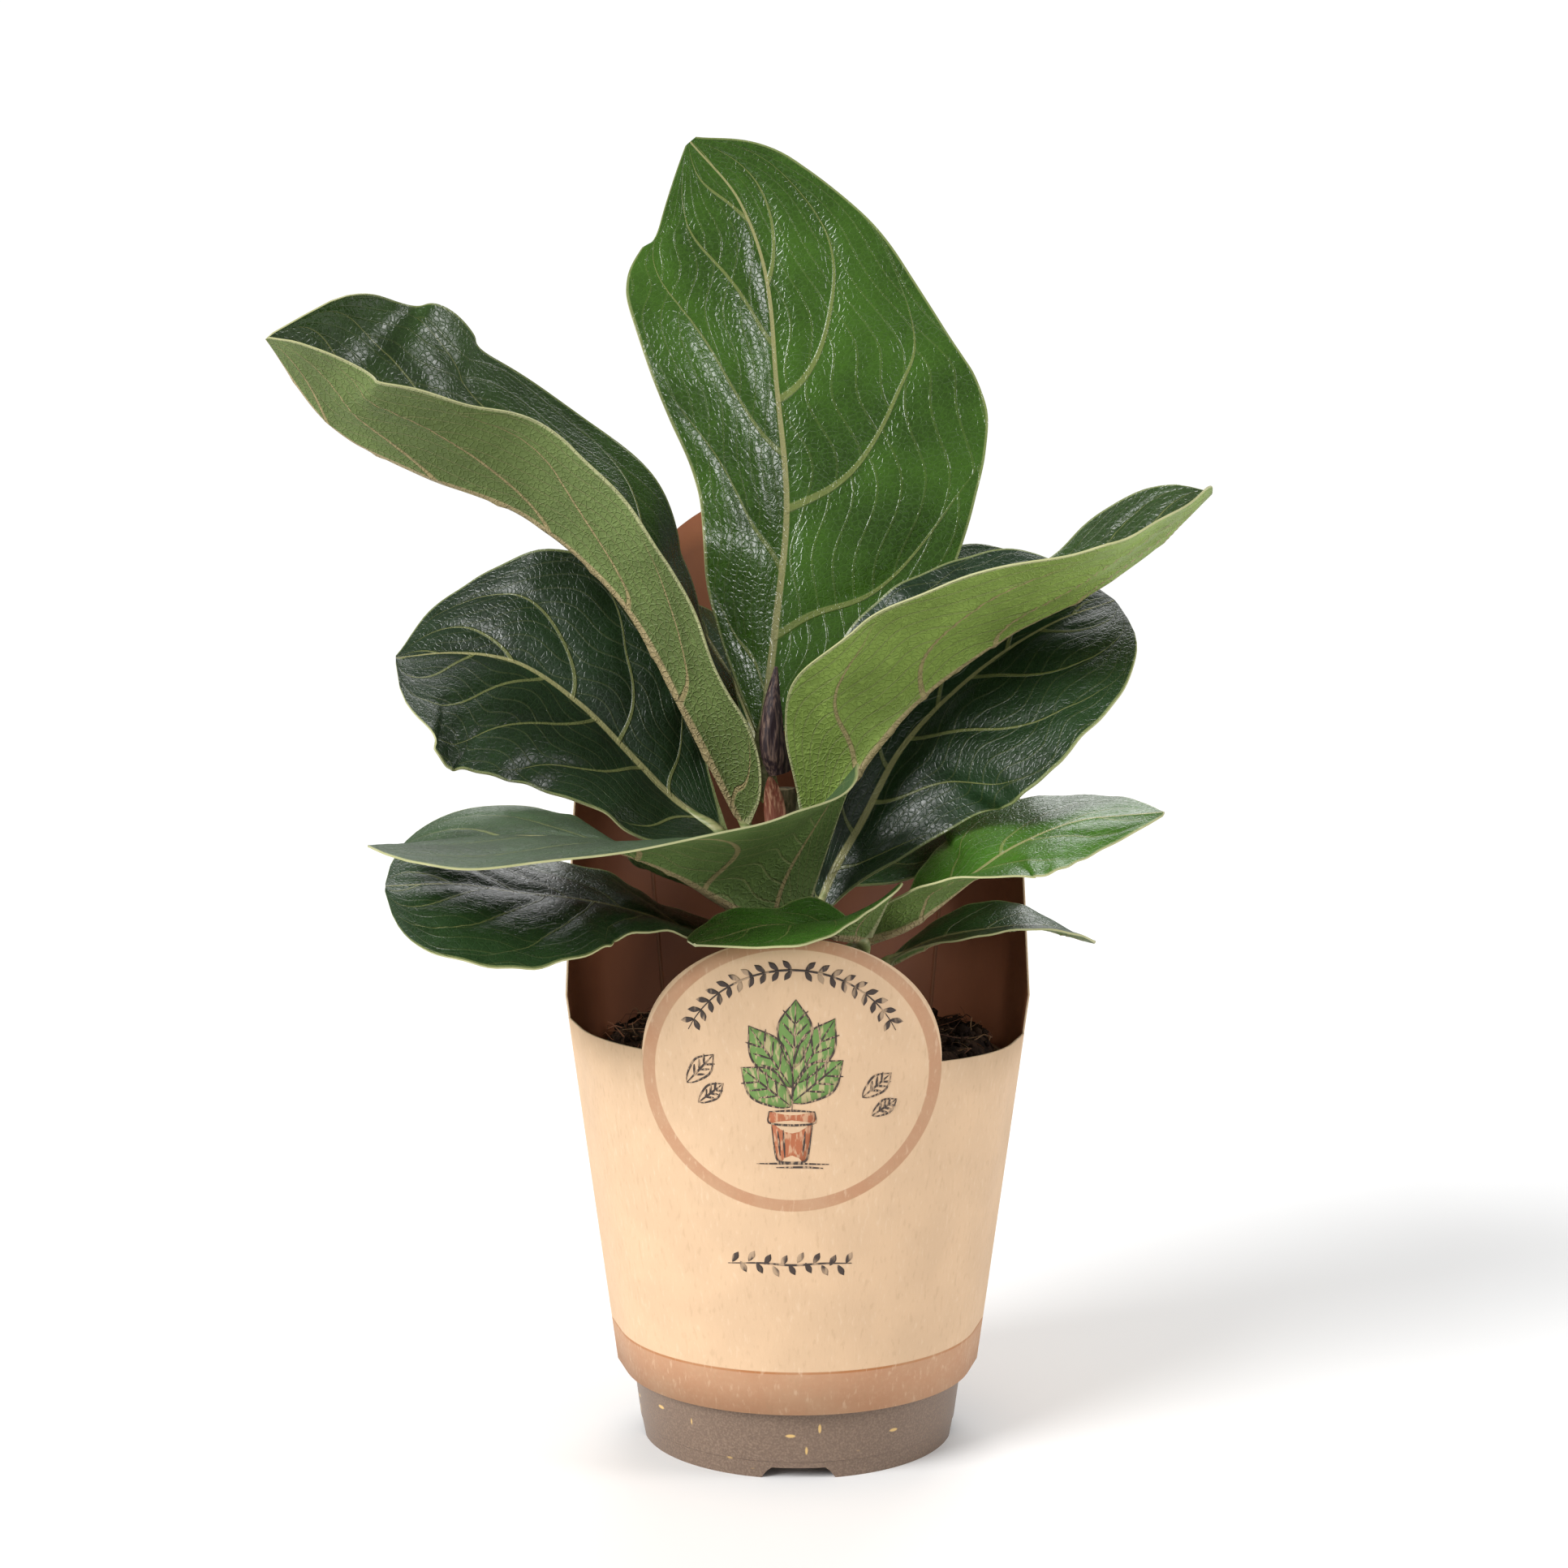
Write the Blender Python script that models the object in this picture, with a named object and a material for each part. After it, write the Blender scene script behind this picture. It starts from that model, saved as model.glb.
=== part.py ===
"""A young fiddle leaf fig in a nursery pot, wrapped in a folded kraft cardboard sleeve.

The origin is on the floor at the pot's axis, +Z is up, and -Y is the side that shows the sleeve's medallion.
Lengths are in metres. The leaves' own sizes are listed in millimetres and scaled by MM.
"""

import math
from collections import namedtuple

import bmesh
import bpy
import numpy as np

MM = 0.001
GAP = 0.3 * MM
MERGE = 0.01 * MM
HALVINGS = 40

# Nursery pot: a thin moulded cone with a turned-out rim and a notched foot.
POT_HEIGHT = 106 * MM
POT_FOOT_RADIUS = 43.6 * MM
POT_LEAN = 0.135
POT_WALL = 1.2 * MM
RIM_DEPTH = 8 * MM
RIM_OVERHANG = 1.67 * MM
RIM_RADIUS = POT_FOOT_RADIUS + POT_LEAN * (POT_HEIGHT - RIM_DEPTH) + RIM_OVERHANG
RIM_ROUNDING = 0.8 * MM
FLOOR_HEIGHT = 4.5 * MM
FOOT_RING_WALL = 1.8 * MM
CENTRE_FOOT_RADIUS = 15 * MM
CENTRE_FOOT_SLOPE = 1.5 * MM
MOULD_STEP = 0.3 * MM
NOTCH_COUNT = 4
NOTCH_WIDTH = 20.6 * MM
NOTCH_TOP_WIDTH = 16.8 * MM
NOTCH_HEIGHT = 3 * MM
DRAIN_COUNT = 8
DRAIN_RADIUS = 3.5 * MM
DRAIN_CIRCLE = 30 * MM
DRAIN_SEGMENTS = 12
NOTCH_OVERCUT = 5 * MM
OVERCUT = 1 * MM
POT_SEGMENTS = 48

# Soil: fills the pot and crowns a little above its rim, with crumbs on top.
SOIL_CLEARANCE = 0.4 * MM
SOIL_EDGE_HEIGHT = POT_HEIGHT - 1 * MM
SOIL_SHOULDER_HEIGHT = POT_HEIGHT + 5.5 * MM
SOIL_SHOULDER_INSET = 5 * MM
SOIL_CROWN_HEIGHT = POT_HEIGHT + 7 * MM
CRUMB_HEIGHT = 1.1 * MM
CRUMB_WAVES = [(430, 390, 1.3), (-520, 410, 0.4), (910, -740, 2.1)]
CRUMB_EDGE = 1 * MM
STEM_HOLE_DEPTH = 16.5 * MM
STEM_CLEARANCE = 0.4 * MM
SOIL_SEGMENTS = 36
SOIL_RINGS = 6

# Sleeve: a card cone round the pot, creased at the left and the right, open at the top and bottom.
CARD = 0.6 * MM
SLEEVE_BOTTOM = 19 * MM
SLEEVE_FOOT_GAP = 2.135 * MM
SLEEVE_BOTTOM_RADIUS = POT_FOOT_RADIUS + POT_LEAN * SLEEVE_BOTTOM + SLEEVE_FOOT_GAP
SLEEVE_RIM_CLEARANCE = 0.4 * MM
CREASE_ANGLE = math.radians(15.5)
FRONT_TOP = POT_HEIGHT + 7.5 * MM
FRONT_SKEW = 0.035
BACK_HALF_WIDTH = RIM_RADIUS + 6 * MM
BACK_SHOULDER = POT_HEIGHT + 53 * MM
BACK_TOP = POT_HEIGHT + 163 * MM
BACK_ARCH_POWER = 2.4
MEDALLION_CENTRE_X = -1.8 * MM
MEDALLION_CENTRE_Z = POT_HEIGHT + 4.6 * MM
MEDALLION_HALF_WIDTH = 38.6 * MM
MEDALLION_HALF_HEIGHT = 35.8 * MM
BACK_COLUMNS = 36
BACK_ROWS = 4
SIDE_COLUMNS = 7
MEDALLION_COLUMNS = 16
MEDALLION_ROWS = 2

# Stem, with the papery sheath of the next leaf at its top.
STEM_RADIUS = 5.2 * MM
# The heights in the tables below are for a pot of this height, and the plant rises with a taller one.
TABLE_POT_HEIGHT = 106 * MM
PLANT_LIFT = POT_HEIGHT - TABLE_POT_HEIGHT
STEM_TOP_RADIUS = 4.2 * MM
STEM_STRAIGHT_SHARE = 0.3
STEM_SAMPLES = 200
STEM_PATH = [(0, 0, 97), (0, 0, 113), (0, 0, 126), (-1, 1, 144), (-4, 1, 164), (-5, 0, 180)]
STEM_SEGMENTS = 14
STEM_RINGS = 14
BUD_PATH = [(-5, -2, 184.5), (-7, -3, 193), (-7, -3, 203), (-6, -2, 214)]
BUD_RADII = [(0, 3.0), (0.2, 4.0), (0.55, 3.0), (0.85, 1.4), (1, 0.5)]

# Leaves: shares of the half width along the blade, from its base to its tip.
FIDDLE = [(0, 0.05), (0.04, 0.36), (0.10, 0.54), (0.20, 0.56), (0.32, 0.60), (0.45, 0.76), (0.60, 0.96),
          (0.72, 1.0), (0.84, 0.90), (0.93, 0.66), (0.98, 0.36), (1, 0.05)]
ROUND = [(0, 0.05), (0.04, 0.30), (0.12, 0.48), (0.25, 0.56), (0.40, 0.74), (0.55, 0.92), (0.70, 1.0),
         (0.84, 0.96), (0.93, 0.78), (0.98, 0.48), (1, 0.05)]
LOBED = [(0, 0.05), (0.03, 0.50), (0.08, 0.80), (0.16, 0.84), (0.30, 0.76), (0.45, 0.82), (0.60, 0.95),
         (0.72, 1.0), (0.84, 0.86), (0.93, 0.58), (0.98, 0.30), (1, 0.04)]
TOP_LEFT = [(0, 0.04), (0.06, 0.20), (0.15, 0.41), (0.24, 0.56), (0.42, 0.68), (0.51, 0.80), (0.61, 0.94),
            (0.69, 1.0), (0.78, 0.95), (0.86, 0.80), (0.94, 0.52), (1, 0.04)]
TOP_RIGHT = [(0, 0.04), (0.06, 0.36), (0.14, 0.64), (0.23, 0.74), (0.38, 0.90), (0.44, 0.97), (0.51, 1.0),
             (0.61, 0.91), (0.70, 0.74), (0.79, 0.57), (0.86, 0.41), (0.94, 0.22), (1, 0.04)]
BLUNT = [(0, 0.04), (0.08, 0.16), (0.20, 0.36), (0.32, 0.60), (0.45, 0.88), (0.58, 1.0), (0.72, 1.0),
         (0.86, 0.88), (0.94, 0.66), (0.98, 0.40), (1, 0.05)]
SHOULDER = [(0, 0.05), (0.06, 0.28), (0.12, 0.52), (0.20, 0.72), (0.30, 0.80), (0.45, 0.84), (0.60, 0.95),
            (0.72, 1.0), (0.84, 0.86), (0.93, 0.58), (0.98, 0.30), (1, 0.04)]
SMALL = [(0, 0.05), (0.10, 0.30), (0.25, 0.62), (0.42, 0.90), (0.58, 1.0), (0.72, 0.88), (0.86, 0.56),
         (0.95, 0.26), (1, 0.04)]

BLADE_THICKNESS = 0.9 * MM
MARGIN_THICKNESS = 0.5 * MM
MIDRIB_DEPTH = 1.6 * MM
STALK_RADIUS = 2.3 * MM
BLADE_ROWS = 20
HALF_COLUMNS = 4
STALK_ROWS = 3
STALK_CLEARANCE = 0.5 * MM
STALK_BEND = 0.35
STALK_FLATNESS = 0.8
STALK_EDGE = 0.1
CURVE_STEPS = 6
RUFFLE_SHIFT = 2.1
RUFFLE_ENDS = 5.2
LOBE_LENGTH = 0.12

# rib: points of the midrib from the blade's base to its tip. roll turns the upper side about the midrib,
# fold lifts each half from the blade's plane and cup curves it, each at the base, middle and tip in degrees.
Leaf = namedtuple("Leaf", "name outlines rib facing roll widths left_fold right_fold left_cup right_cup lobe "
                          "ruffle attach_height")
UPWARD = (0, 0, 1)
FORWARD = (0, -1, 0)
LEAVES = [
    Leaf("leaf_top", (TOP_LEFT, TOP_RIGHT),
         [(-10, 5, 195), (-6, 15, 227), (-3, 22, 260), (-6, 27, 296), (-9, 32, 327), (-17, 34, 349), (-31, 33, 365)],
         FORWARD, (8, 5, 5), (44, 60), (15, 24, 5), (0, 0, -8), (0, 0, 0), (0, 0, 0), 0, (1.2, 3, 0.1), 178),
    Leaf("leaf_upper_left", (FIDDLE, ROUND),
         [(-16, 9, 172), (-30, 1, 201), (-48, -4, 233), (-74, -4, 256), (-104, -10, 268), (-126, -14, 280),
          (-141, -24, 301)],
         UPWARD, (-20, 3, -25), (29, 54), (30, 45, 30), (40, 40, 62), (2, 9, 3), (9, 7, 9), 0.02, (1.5, 2, 0), 162),
    Leaf("leaf_left_middle", (ROUND, SMALL),
         [(-25, 12, 169), (-35, 16, 176), (-48, 18, 189), (-62, 19, 203), (-80, 20, 215), (-98, 21, 218),
          (-115, 20, 216)],
         UPWARD, (-26, -50, -34), (48, 40), (9, 9, 8), (3, 18, 0), (0, 0, 0), (0, 5, 0), 0.05, (1.2, 3, 0.3), 154),
    Leaf("leaf_left_folded", (LOBED, LOBED),
         [(-4, -21, 143), (-18, -29, 151), (-32, -41, 161), (-47, -49, 168), (-63, -51, 171), (-85, -48, 170),
          (-105, -44, 165)],
         UPWARD, (1, -9, -6), (60, 38), (92, 16, 21), (25, -5, 20), (0, -3, -5), (5, -2, -5), 0.05, (0.8, 2, 0.3),
         132),
    Leaf("leaf_lowest_left", (FIDDLE, FIDDLE),
         [(-18, -18, 140), (-29, -20, 143), (-42, -23, 148), (-57, -27, 152), (-74, -36, 155), (-90, -43, 158),
          (-107, -46, 157)],
         UPWARD, (3, -9, -14), (42, 40), (3, -2, -4), (7, 7, 8), (0, -10, -20), (0, 0, 0), 0.05, (1, 3, 0.2), 137),
    Leaf("leaf_right_middle", (BLUNT, BLUNT),
         [(5, -12, 146), (10, -9, 158), (17, -6, 170), (30, -2, 193), (50, -3, 213), (70, -3, 226), (88, 0, 232)],
         UPWARD, (42, 57, 35), (38, 46), (18, 7, -7), (15, 12, 12), (0, 0, 0), (0, 0, 0), 0, (1, 3, 0.2), 139),
    Leaf("leaf_upper_right", (FIDDLE, SHOULDER),
         [(4, -19, 169), (14, -17, 184), (32, -18, 206), (55, -20, 223), (77, -17, 234), (95, -15, 246),
          (112, -12, 261)],
         UPWARD, (-5, 0, 9), (30, 45), (40, 15, 25), (80, 22, 22), (5, 5, 8), (8, 8, 8), 0, (1, 2, 0.2), 159),
    Leaf("leaf_front_curled", (LOBED, LOBED),
         [(15, -36, 143), (6, -46, 146), (-8, -59, 149), (-26, -69, 145)],
         UPWARD, (-14, -2, 2), (26, 21), (74, 6, 2), (25, 5, 0), (0, 0, 0), (0, 0, 0), 0.1, (0.4, 2, 0.2), 121),
    Leaf("leaf_right_low", (SMALL, SMALL),
         [(19, -25, 141), (29, -30, 146), (46, -32, 159), (58, -31, 167), (75, -34, 174), (95, -42, 176)],
         UPWARD, (17, 18, 20), (30, 28), (16, 1, -13), (88, 9, -6), (0, 0, 0), (0, 0, 0), 0, (0.6, 3, 0.2), 130),
    Leaf("leaf_right_lowest", (SMALL, SMALL),
         [(25, -9, 133), (37, -10, 139), (51, -11, 142), (66, -11, 143), (82, -8, 138)],
         UPWARD, (9, 9, 3), (20, 20), (2, 6, -2), (9, 11, 8), (0, 0, 0), (0, 0, 0), 0, (0.4, 2, 0.1), 119),
    Leaf("leaf_back_right", (FIDDLE, FIDDLE),
         [(5, 18, 186), (24, 30, 208), (46, 37, 229), (75, 42, 240)],
         UPWARD, (43, 33, 35), (31, 34), (12, 5, 0), (10, 10, 0), (0, 0, 0), (0, 0, 0), 0.02, (0.8, 2, 0.1), 170),
    Leaf("leaf_back_left", (SMALL, SMALL),
         [(-9, 26, 187), (-17, 38, 206), (-26, 44, 222), (-33, 44, 232)],
         UPWARD, (-65, -30, -49), (26, 26), (10, 10, 0), (14, -13, -8), (0, 0, 0), (0, 0, 0), 0.02, (0.5, 2, 0.1),
         166),
    Leaf("leaf_behind_right", (SMALL, SMALL),
         [(10, 16, 153), (27, 22, 162), (46, 26, 172), (62, 26, 181)],
         UPWARD, (48, 31, 20), (28, 28), (10, 10, 0), (8, 21, 16), (0, 0, 0), (0, 0, 0), 0.02, (0.5, 2, 0.1), 142),
]

# Stipules: papery scales that stand against the stem by the youngest leaf bases.
STIPULE_THICKNESS = 0.7 * MM
STIPULE_LENGTH = 13 * MM
STIPULES = [("stipule_low", 142, 205), ("stipule_middle", 157, 60), ("stipule_top", 171, 250)]
STIPULE_CLEARANCE = 0.5 * MM
STIPULE_LEAN = 0.25
STIPULE_ROWS = 6
STIPULE_WRAP = math.radians(30)
STIPULE_TIP = math.radians(3)


def clear_scene():
    for obj in list(bpy.data.objects):
        bpy.data.objects.remove(obj, do_unlink=True)


def material(name, colour, roughness, metallic=0.0):
    made = bpy.data.materials.new(name)
    made.use_nodes = True
    surface = made.node_tree.nodes["Principled BSDF"]
    surface.inputs["Base Color"].default_value = (*colour, 1)
    surface.inputs["Roughness"].default_value = roughness
    surface.inputs["Metallic"].default_value = metallic
    return made


def object_of(name, verts, faces, made, sharp_degrees=35):
    """A smooth-shaded object from points and faces, its doubled points merged and its faces turned outwards."""
    mesh = bpy.data.meshes.new(name)
    shape = bmesh.new()
    points = [shape.verts.new(v) for v in verts]
    for face in faces:
        corners = [points[i] for i in face]
        shape.faces.new(corners)
    bmesh.ops.remove_doubles(shape, verts=shape.verts, dist=MERGE)
    bmesh.ops.recalc_face_normals(shape, faces=shape.faces)
    shape.to_mesh(mesh)
    shape.free()
    mesh.shade_smooth()
    mesh.set_sharp_from_angle(angle=math.radians(sharp_degrees))
    mesh.materials.append(made)
    obj = bpy.data.objects.new(name, mesh)
    bpy.context.scene.collection.objects.link(obj)
    return obj


def through(knots, values, at):
    """A smooth curve through values at rising knots, read at each place in at."""
    knots = np.asarray(knots, float)
    values = np.asarray(values, float)
    slopes = np.zeros_like(values)
    slopes[1:-1] = ((values[2:] - values[:-2]).T / (knots[2:] - knots[:-2])).T
    slopes[0] = (values[1] - values[0]) / (knots[1] - knots[0])
    slopes[-1] = (values[-1] - values[-2]) / (knots[-1] - knots[-2])
    at = np.atleast_1d(at)
    first = np.clip(np.searchsorted(knots, at) - 1, 0, len(knots) - 2)
    step = knots[first + 1] - knots[first]
    u = (at - knots[first]) / step
    if values.ndim == 2:
        u = u[:, None]
        step = step[:, None]
    start = (2 * u**3 - 3 * u**2 + 1) * values[first] + (u**3 - 2 * u**2 + u) * slopes[first] * step
    end = (3 * u**2 - 2 * u**3) * values[first + 1] + (u**3 - u**2) * slopes[first + 1] * step
    return start + end


def along(path, at):
    """Points at shares of a path's length, on a smooth curve through its points in millimetres."""
    path = np.asarray(path, float) * MM + (0, 0, PLANT_LIFT)
    lengths = np.linalg.norm(np.diff(path, axis=0), axis=1)
    knots = np.concatenate([[0], np.cumsum(lengths)])
    return through(knots / knots[-1], path, at)


def three(values, at):
    """A parabola through values at the base, middle and tip."""
    base, middle, tip = values
    return (1 - at) ** 2 * base + 2 * at * (1 - at) * (2 * middle - (base + tip) / 2) + at**2 * tip


def unit(vectors):
    return vectors / np.linalg.norm(vectors, axis=-1, keepdims=True)


def revolved(profile, segments):
    """Points and faces of a closed solid turned about the Z axis from a profile that starts and ends on it."""
    verts = []
    faces = []
    for radius, height in profile:
        for k in range(segments):
            angle = 2 * math.pi * k / segments
            verts.append((radius * math.cos(angle), radius * math.sin(angle), height))
    for i in range(len(profile) - 1):
        for k in range(segments):
            following = (k + 1) % segments
            quad = (i * segments + k, i * segments + following, (i + 1) * segments + following, (i + 1) * segments + k)
            on_axis = [profile[i][0] == 0] * 2 + [profile[i + 1][0] == 0] * 2
            if all(on_axis):
                continue
            if on_axis[0]:
                quad = (i * segments, quad[2], quad[3])
            elif on_axis[2]:
                quad = (quad[0], quad[1], (i + 1) * segments)
            faces.append(quad)
    used = sorted({i for face in faces for i in face})
    place = {old: new for new, old in enumerate(used)}
    return [verts[i] for i in used], [tuple(place[i] for i in face) for face in faces]


def pot_radius(height):
    return POT_FOOT_RADIUS + POT_LEAN * height


def tube(path, radii, segments, rings):
    """A closed round rod along a path, its radius in millimetres given at shares of its length."""
    at = np.linspace(0, 1, rings)
    centres = along(path, at)
    tangents = unit(np.gradient(centres, axis=0))
    sides = unit(np.cross(tangents, np.array([0.0, 1.0, 0.0])))
    ups = np.cross(sides, tangents)
    knots, sizes = zip(*radii)
    sizes = through(knots, np.array(sizes) * MM, at)
    verts = []
    for i in range(rings):
        for k in range(segments):
            angle = 2 * math.pi * k / segments
            offset = math.cos(angle) * sides[i] + math.sin(angle) * ups[i]
            verts.append(centres[i] + sizes[i] * offset)
    return verts, loft_faces(rings, segments)


def loft_faces(rings, count):
    faces = [tuple(range(count))]
    for i in range(rings - 1):
        for k in range(count):
            following = (k + 1) % count
            faces.append((i * count + k, i * count + following, (i + 1) * count + following, (i + 1) * count + k))
    faces.append(tuple((rings - 1) * count + k for k in range(count)))
    return faces


def cutter(name, verts, faces, target):
    obj = object_of(name, verts, faces, target.data.materials[0])
    obj.hide_render = True
    obj.display_type = "WIRE"
    cut = target.modifiers.new(name, "BOOLEAN")
    cut.operation = "DIFFERENCE"
    cut.object = obj


def build_pot(made):
    floor_top = FLOOR_HEIGHT + POT_WALL
    rim_bottom = POT_HEIGHT - RIM_DEPTH
    ring_inner = POT_FOOT_RADIUS - FOOT_RING_WALL
    mouth = pot_radius(rim_bottom) - POT_WALL
    profile = [
        (0, 0),
        (CENTRE_FOOT_RADIUS, 0),
        (CENTRE_FOOT_RADIUS + CENTRE_FOOT_SLOPE, FLOOR_HEIGHT),
        (ring_inner, FLOOR_HEIGHT),
        (ring_inner, 0),
        (POT_FOOT_RADIUS - MOULD_STEP, 0),
        (pot_radius(FLOOR_HEIGHT) - MOULD_STEP, FLOOR_HEIGHT),
        (pot_radius(FLOOR_HEIGHT), FLOOR_HEIGHT + MOULD_STEP),
        (pot_radius(rim_bottom), rim_bottom),
        (RIM_RADIUS - RIM_ROUNDING, rim_bottom),
        (RIM_RADIUS, rim_bottom + RIM_ROUNDING),
        (RIM_RADIUS, POT_HEIGHT - RIM_ROUNDING),
        (RIM_RADIUS - RIM_ROUNDING, POT_HEIGHT),
        (mouth + RIM_ROUNDING, POT_HEIGHT),
        (mouth, POT_HEIGHT - RIM_ROUNDING),
        (mouth, rim_bottom),
        (pot_radius(floor_top) - POT_WALL, floor_top),
        (CENTRE_FOOT_RADIUS + CENTRE_FOOT_SLOPE - POT_WALL, floor_top),
        (CENTRE_FOOT_RADIUS - POT_WALL, POT_WALL),
        (0, POT_WALL),
    ]
    pot = object_of("nursery_pot", *revolved(profile, POT_SEGMENTS), made)
    cut_notches(pot)
    cut_drains(pot)


def cut_notches(pot):
    """Trapezoid gaps in the foot ring that let water run out from under the floor."""
    inner = CENTRE_FOOT_RADIUS + CENTRE_FOOT_SLOPE + (POT_FOOT_RADIUS - CENTRE_FOOT_RADIUS) / 2
    outer = POT_FOOT_RADIUS + NOTCH_OVERCUT
    verts = []
    faces = []
    for k in range(NOTCH_COUNT):
        turn = -math.pi / 2 + 2 * math.pi * k / NOTCH_COUNT
        first = len(verts)
        for reach in (inner, outer):
            for half, height in ((-NOTCH_WIDTH, -OVERCUT), (NOTCH_WIDTH, -OVERCUT),
                                 (NOTCH_TOP_WIDTH, NOTCH_HEIGHT), (-NOTCH_TOP_WIDTH, NOTCH_HEIGHT)):
                x, y = reach, half / 2
                verts.append((x * math.cos(turn) - y * math.sin(turn), x * math.sin(turn) + y * math.cos(turn), height))
        faces += [tuple(first + i for i in face) for face in loft_faces(2, 4)]
    cutter("foot_notches", verts, faces, pot)


def cut_drains(pot):
    """Round holes through the raised floor."""
    verts = []
    faces = []
    for k in range(DRAIN_COUNT):
        turn = math.pi / DRAIN_COUNT + 2 * math.pi * k / DRAIN_COUNT
        first = len(verts)
        for height in (FLOOR_HEIGHT - OVERCUT, FLOOR_HEIGHT + POT_WALL + OVERCUT):
            for j in range(DRAIN_SEGMENTS):
                angle = 2 * math.pi * j / DRAIN_SEGMENTS
                verts.append((DRAIN_CIRCLE * math.cos(turn) + DRAIN_RADIUS * math.cos(angle),
                              DRAIN_CIRCLE * math.sin(turn) + DRAIN_RADIUS * math.sin(angle), height))
        faces += [tuple(first + i for i in face) for face in loft_faces(2, DRAIN_SEGMENTS)]
    cutter("drain_holes", verts, faces, pot)


def crumbs(x, y):
    """A fixed uneven height, so that the soil looks loose."""
    waves = [math.sin(along_x * x + along_y * y + phase) for along_x, along_y, phase in CRUMB_WAVES]
    return CRUMB_HEIGHT * sum(waves) / len(waves)


def build_soil(made):
    floor_top = FLOOR_HEIGHT + POT_WALL
    hole = STEM_RADIUS + STEM_CLEARANCE
    wall_bottom = pot_radius(floor_top) - POT_WALL - SOIL_CLEARANCE
    mouth = pot_radius(POT_HEIGHT - RIM_DEPTH) - POT_WALL - SOIL_CLEARANCE
    shoulder = mouth - SOIL_SHOULDER_INSET
    centre_foot = CENTRE_FOOT_RADIUS - POT_WALL - SOIL_CLEARANCE
    profile = [
        (0, POT_WALL + SOIL_CLEARANCE),
        (centre_foot, POT_WALL + SOIL_CLEARANCE),
        (centre_foot + CENTRE_FOOT_SLOPE, floor_top + SOIL_CLEARANCE),
        (wall_bottom - SOIL_CLEARANCE, floor_top + SOIL_CLEARANCE),
        (mouth, POT_HEIGHT - RIM_DEPTH),
        (mouth, SOIL_EDGE_HEIGHT),
    ]
    for i in range(SOIL_RINGS):
        share = i / (SOIL_RINGS - 1)
        radius = shoulder + (hole - shoulder) * share
        profile.append((radius, SOIL_SHOULDER_HEIGHT + (SOIL_CROWN_HEIGHT - SOIL_SHOULDER_HEIGHT) * share))
    profile.append((hole, SOIL_CROWN_HEIGHT - STEM_HOLE_DEPTH - GAP))
    profile.append((0, SOIL_CROWN_HEIGHT - STEM_HOLE_DEPTH - GAP))
    verts, faces = revolved(profile, SOIL_SEGMENTS)
    loose = []
    for x, y, z in verts:
        radius = math.hypot(x, y)
        on_top = z >= SOIL_SHOULDER_HEIGHT and hole + CRUMB_EDGE < radius
        loose.append((x, y, z + crumbs(x, y) if on_top else z))
    object_of("potting_soil", loose, faces, made)


def sleeve_radius(angle, height):
    """The sleeve's inner distance from the axis: a circle with a tangent on each side of both creases."""
    rim_bottom = POT_HEIGHT - RIM_DEPTH
    rim_fit = RIM_RADIUS + SLEEVE_RIM_CLEARANCE
    lean = (rim_fit - SLEEVE_BOTTOM_RADIUS) / (rim_bottom - SLEEVE_BOTTOM)
    circle = SLEEVE_BOTTOM_RADIUS + lean * (height - SLEEVE_BOTTOM)
    from_crease = abs((angle + math.pi / 2) % math.pi - math.pi / 2)
    return circle / math.cos(max(CREASE_ANGLE - from_crease, 0))


def sleeve_point(angle, height):
    radius = sleeve_radius(angle, height)
    return radius * math.cos(angle), radius * math.sin(angle), height


def front_edge(angle):
    """Height of the front's top edge, which also marks where the back panel starts to stand free."""
    return FRONT_TOP - FRONT_SKEW * sleeve_radius(angle, FRONT_TOP) * math.cos(angle)


def back_edge(angle):
    """Height of the back panel's arched edge where it meets this ruling of the cone."""
    low, high = FRONT_TOP, BACK_TOP
    for _ in range(HALVINGS):
        height = (low + high) / 2
        rise = max(height - BACK_SHOULDER, 0) / (BACK_TOP - BACK_SHOULDER)
        half_width = BACK_HALF_WIDTH * (1 - rise**BACK_ARCH_POWER) ** (1 / BACK_ARCH_POWER)
        if sleeve_radius(angle, height) * abs(math.cos(angle)) > half_width:
            high = height
        else:
            low = height
    return low


def medallion_edge(angle):
    """Height of the round tab's edge, or of the front's edge outside the tab."""
    across = (sleeve_point(angle, FRONT_TOP)[0] - MEDALLION_CENTRE_X) / MEDALLION_HALF_WIDTH
    rise = MEDALLION_HALF_HEIGHT * math.sqrt(max(1 - across**2, 0))
    return max(MEDALLION_CENTRE_Z + rise, front_edge(angle))


def angle_at(x):
    """The front angle whose top edge lies at this X, found by halving."""
    low, high = math.pi + CREASE_ANGLE, 2 * math.pi - CREASE_ANGLE
    for _ in range(HALVINGS):
        middle = (low + high) / 2
        if sleeve_point(middle, FRONT_TOP)[0] < x:
            low = middle
        else:
            high = middle
    return low


def sleeve_angles():
    back = [math.pi * k / BACK_COLUMNS for k in range(BACK_COLUMNS)]
    left = angle_at(MEDALLION_CENTRE_X - MEDALLION_HALF_WIDTH)
    right = angle_at(MEDALLION_CENTRE_X + MEDALLION_HALF_WIDTH)
    before = [math.pi + (left - math.pi) * k / SIDE_COLUMNS for k in range(SIDE_COLUMNS)]
    tab = []
    for k in range(MEDALLION_COLUMNS + 1):
        across = -math.cos(math.pi * k / MEDALLION_COLUMNS)
        tab.append(angle_at(MEDALLION_CENTRE_X + MEDALLION_HALF_WIDTH * across))
    after = [right + (2 * math.pi - right) * k / SIDE_COLUMNS for k in range(1, SIDE_COLUMNS)]
    return back + before + tab + after


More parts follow.
